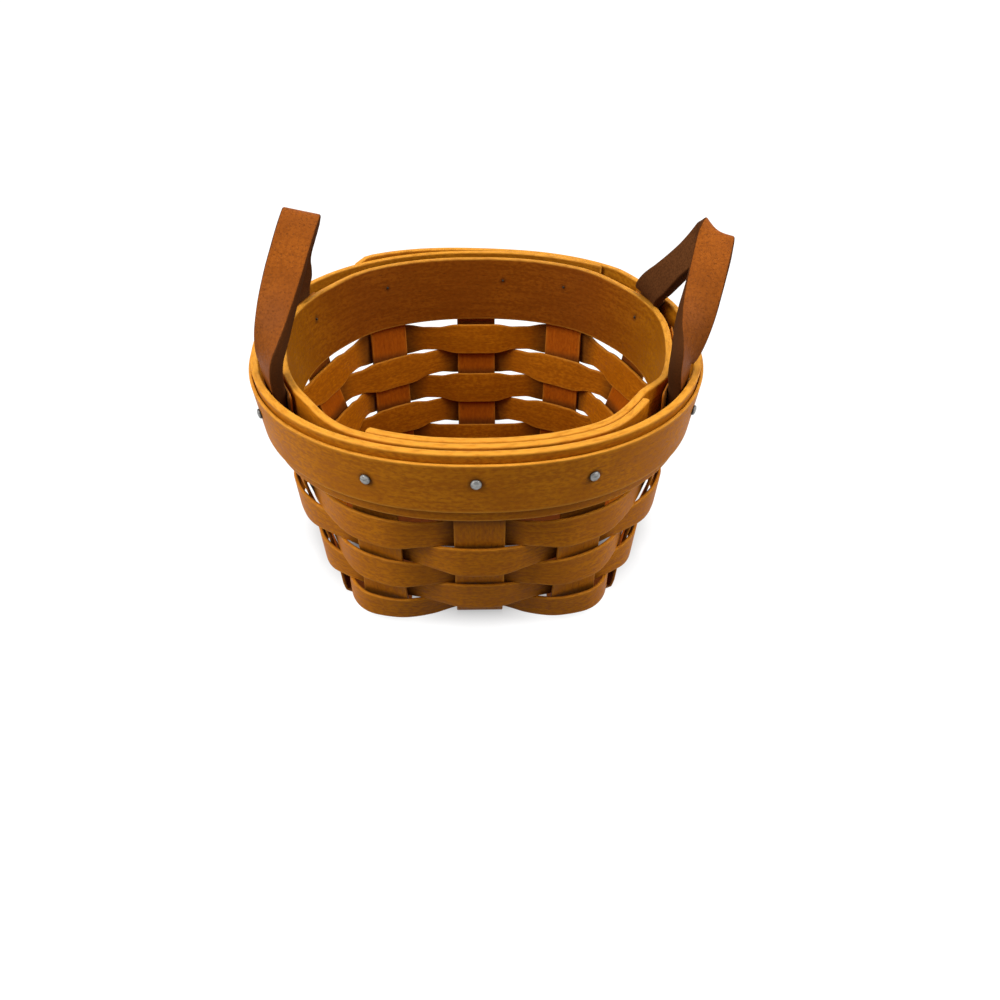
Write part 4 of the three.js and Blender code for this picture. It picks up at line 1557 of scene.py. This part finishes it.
@dataclass(frozen=True)
class SoftLamp:
    """A square soft lamp that looks at the basket's middle; metres and watts."""

    name: str
    at: Triple
    size: float
    power: float
    looks_at: Triple = (0.0, 0.0, 0.05)

    def build(self) -> None:
        """Adds the lamp to the scene."""
        data = bpy.data.lights.new(self.name, "AREA")
        data.shape = "SQUARE"
        data.size = self.size
        data.energy = self.power
        lamp = placed(self.name, data)
        lamp.location = self.at
        lamp.rotation_euler = (Vector(self.looks_at) - Vector(self.at)).to_track_quat("-Z", "Y").to_euler()


@dataclass
class Studio:
    """A pale floor, soft light from above at both sides, and a camera at the photograph's angle."""

    camera_at: Triple = (-1.4, -275.0, 207.3)
    pitch: float = 0.6206
    yaw: float = 0.0329
    roll: float = 0.0083
    lens: float = 34.72
    floor_half: float = 6.0
    floor_bounce: float = 0.20
    floor_glow: float = 0.90
    glow_middle: Triple = (0.0, 0.010, 0.0)
    # Painted shade: the floor's glow fades out between these distances from the middle.
    painted_shade_fade: Span = (0.044, 0.066)
    glow_full: Span = (0.12, 0.50)
    sky: float = 0.18
    lamps: tuple[SoftLamp, ...] = (
        SoftLamp("left_lamp", (-0.60, -0.20, 0.60), 0.5, 6.8),
        SoftLamp("right_lamp", (0.60, -0.14, 0.60), 0.5, 5.2),
        SoftLamp("top_lamp", (0.0, 0.10, 0.95), 0.6, 3.0),
    )

    def camera(self) -> None:
        """Sets up the camera from its place and its pitch, yaw and roll."""
        level = math.cos(self.pitch)
        forward = Vector((math.sin(self.yaw) * level, math.cos(self.yaw) * level, -math.sin(self.pitch)))
        right = forward.cross(Vector((0.0, 0.0, 1.0))).normalized()
        up = right.cross(forward)
        turned_right = right * math.cos(self.roll) + up * math.sin(self.roll)
        turned_up = up * math.cos(self.roll) - right * math.sin(self.roll)
        data = bpy.data.cameras.new("camera")
        data.sensor_fit = "HORIZONTAL"
        data.sensor_width = 36.0
        data.lens = self.lens
        data.clip_start = 0.01
        data.clip_end = 100.0
        camera = placed("camera", data)
        axes = Matrix((turned_right, turned_up, -forward)).transposed().to_4x4()
        camera.matrix_world = Matrix.Translation(Vector(self.camera_at) * MM) @ axes
        bpy.context.scene.camera = camera

    def floor(self) -> None:
        """Makes the floor: it takes the basket's shadow, and looks white to the camera but for under the
        basket and round its base, where a painted shade fades its glow out.
        """
        half = self.floor_half
        corners = [(-half, -half, 0.0), (half, -half, 0.0), (half, half, 0.0), (-half, half, 0.0)]
        mesh = bpy.data.meshes.new("floor")
        mesh.from_pydata(corners, [], [(0, 1, 2, 3)])
        material, board, shader = new_material("floor_paint")
        place = board.add("TexCoord").outputs["Object"]
        away = board.add("VectorMath", {0: place, 1: self.glow_middle}, operation="DISTANCE").outputs["Value"]
        # Painted shade round and under the basket's base: no glow there.
        glow = board.step(away, *self.painted_shade_fade, (0.0, self.floor_glow))
        glow = board.math("ADD", glow, board.step(away, *self.glow_full, (0.0, 1.0 - self.floor_glow)))
        board.feed(
            shader,
            {"Base Color": rgba((self.floor_bounce,) * 3), "Roughness": 0.9, "Specular IOR Level": 0.0,
             "Emission Color": rgba((1.0, 1.0, 1.0)),
             "Emission Strength": board.math("MULTIPLY", self.seen(board), glow)},
        )
        mesh.materials.append(material)
        placed("floor", mesh)

    @staticmethod
    def seen(board: Board) -> bpy.types.NodeSocket:
        """What the camera sees, straight or in a reflection or through something clear.

        Args:
            board: The board of the floor or the sky.
        Returns:
            1 there, and 0 for light that falls on the basket.
        """
        path = board.add("LightPath")
        glossy = board.math("MAXIMUM", path.outputs["Is Glossy Ray"], path.outputs["Is Transmission Ray"])
        return board.math("MAXIMUM", path.outputs["Is Camera Ray"], glossy)

    def world(self) -> None:
        """A plain sky that lights softly and looks white to the camera."""
        world = bpy.data.worlds.new("sky")
        world.use_nodes = True
        board = Board(world.node_tree)
        strength = board.math("MAXIMUM", self.seen(board), self.sky)
        white = {"Color": rgba((1.0, 1.0, 1.0)), "Strength": strength}
        board.feed(world.node_tree.nodes["Background"], white)
        bpy.context.scene.world = world

    def build(self) -> None:
        """Sets up camera, floor, sky and lamps."""
        bpy.context.scene.view_settings.view_transform = "Standard"
        self.camera()
        self.floor()
        self.world()
        for lamp in self.lamps:
            lamp.build()


def main() -> None:
    """Sets up the studio and builds the basket's sub-assemblies in order."""
    logging.basicConfig(level=logging.INFO, format="%(name)s: %(message)s")
    Studio().build()
    form = BasketForm()
    weave = Weave(form)
    Splints(form, weave).build()
    weave.build()
    bands = RimBands(form)
    nails = Nails(form, bands)
    bands.build(*nails.heads_and_points())
    leather = LeatherFinish().material()
    LeatherEar(
        form, "left", Side.LEFT, rise=33.0, bow=3.0, lean=14.0,
        front=EarLeg(start=1.0, bend=80.0, draw=0.93, shoulder=7.0, crown=3.0, untwist=(-0.1, 0.75)),
        back=EarLeg(start=0.93, bend=80.0, draw=0.70, shoulder=8.0, crown=5.0, untwist=(0.15, 1.05)),
    ).build(leather)
    LeatherEar(
        form, "right", Side.RIGHT, rise=29.2, bow=0.7, lean=25.0, crown_turn=-40.0,
        front=EarLeg(start=1.0, bend=80.0, draw=0.85, shoulder=4.0, crown=4.7, untwist=(-0.12, 0.52)),
        back=EarLeg(start=0.88, bend=76.0, draw=0.61, shoulder=2.5, crown=3.0, untwist=(0.3, 1.05)),
    ).build(leather)
    nails.build()


if __name__ == "__main__":
    main()
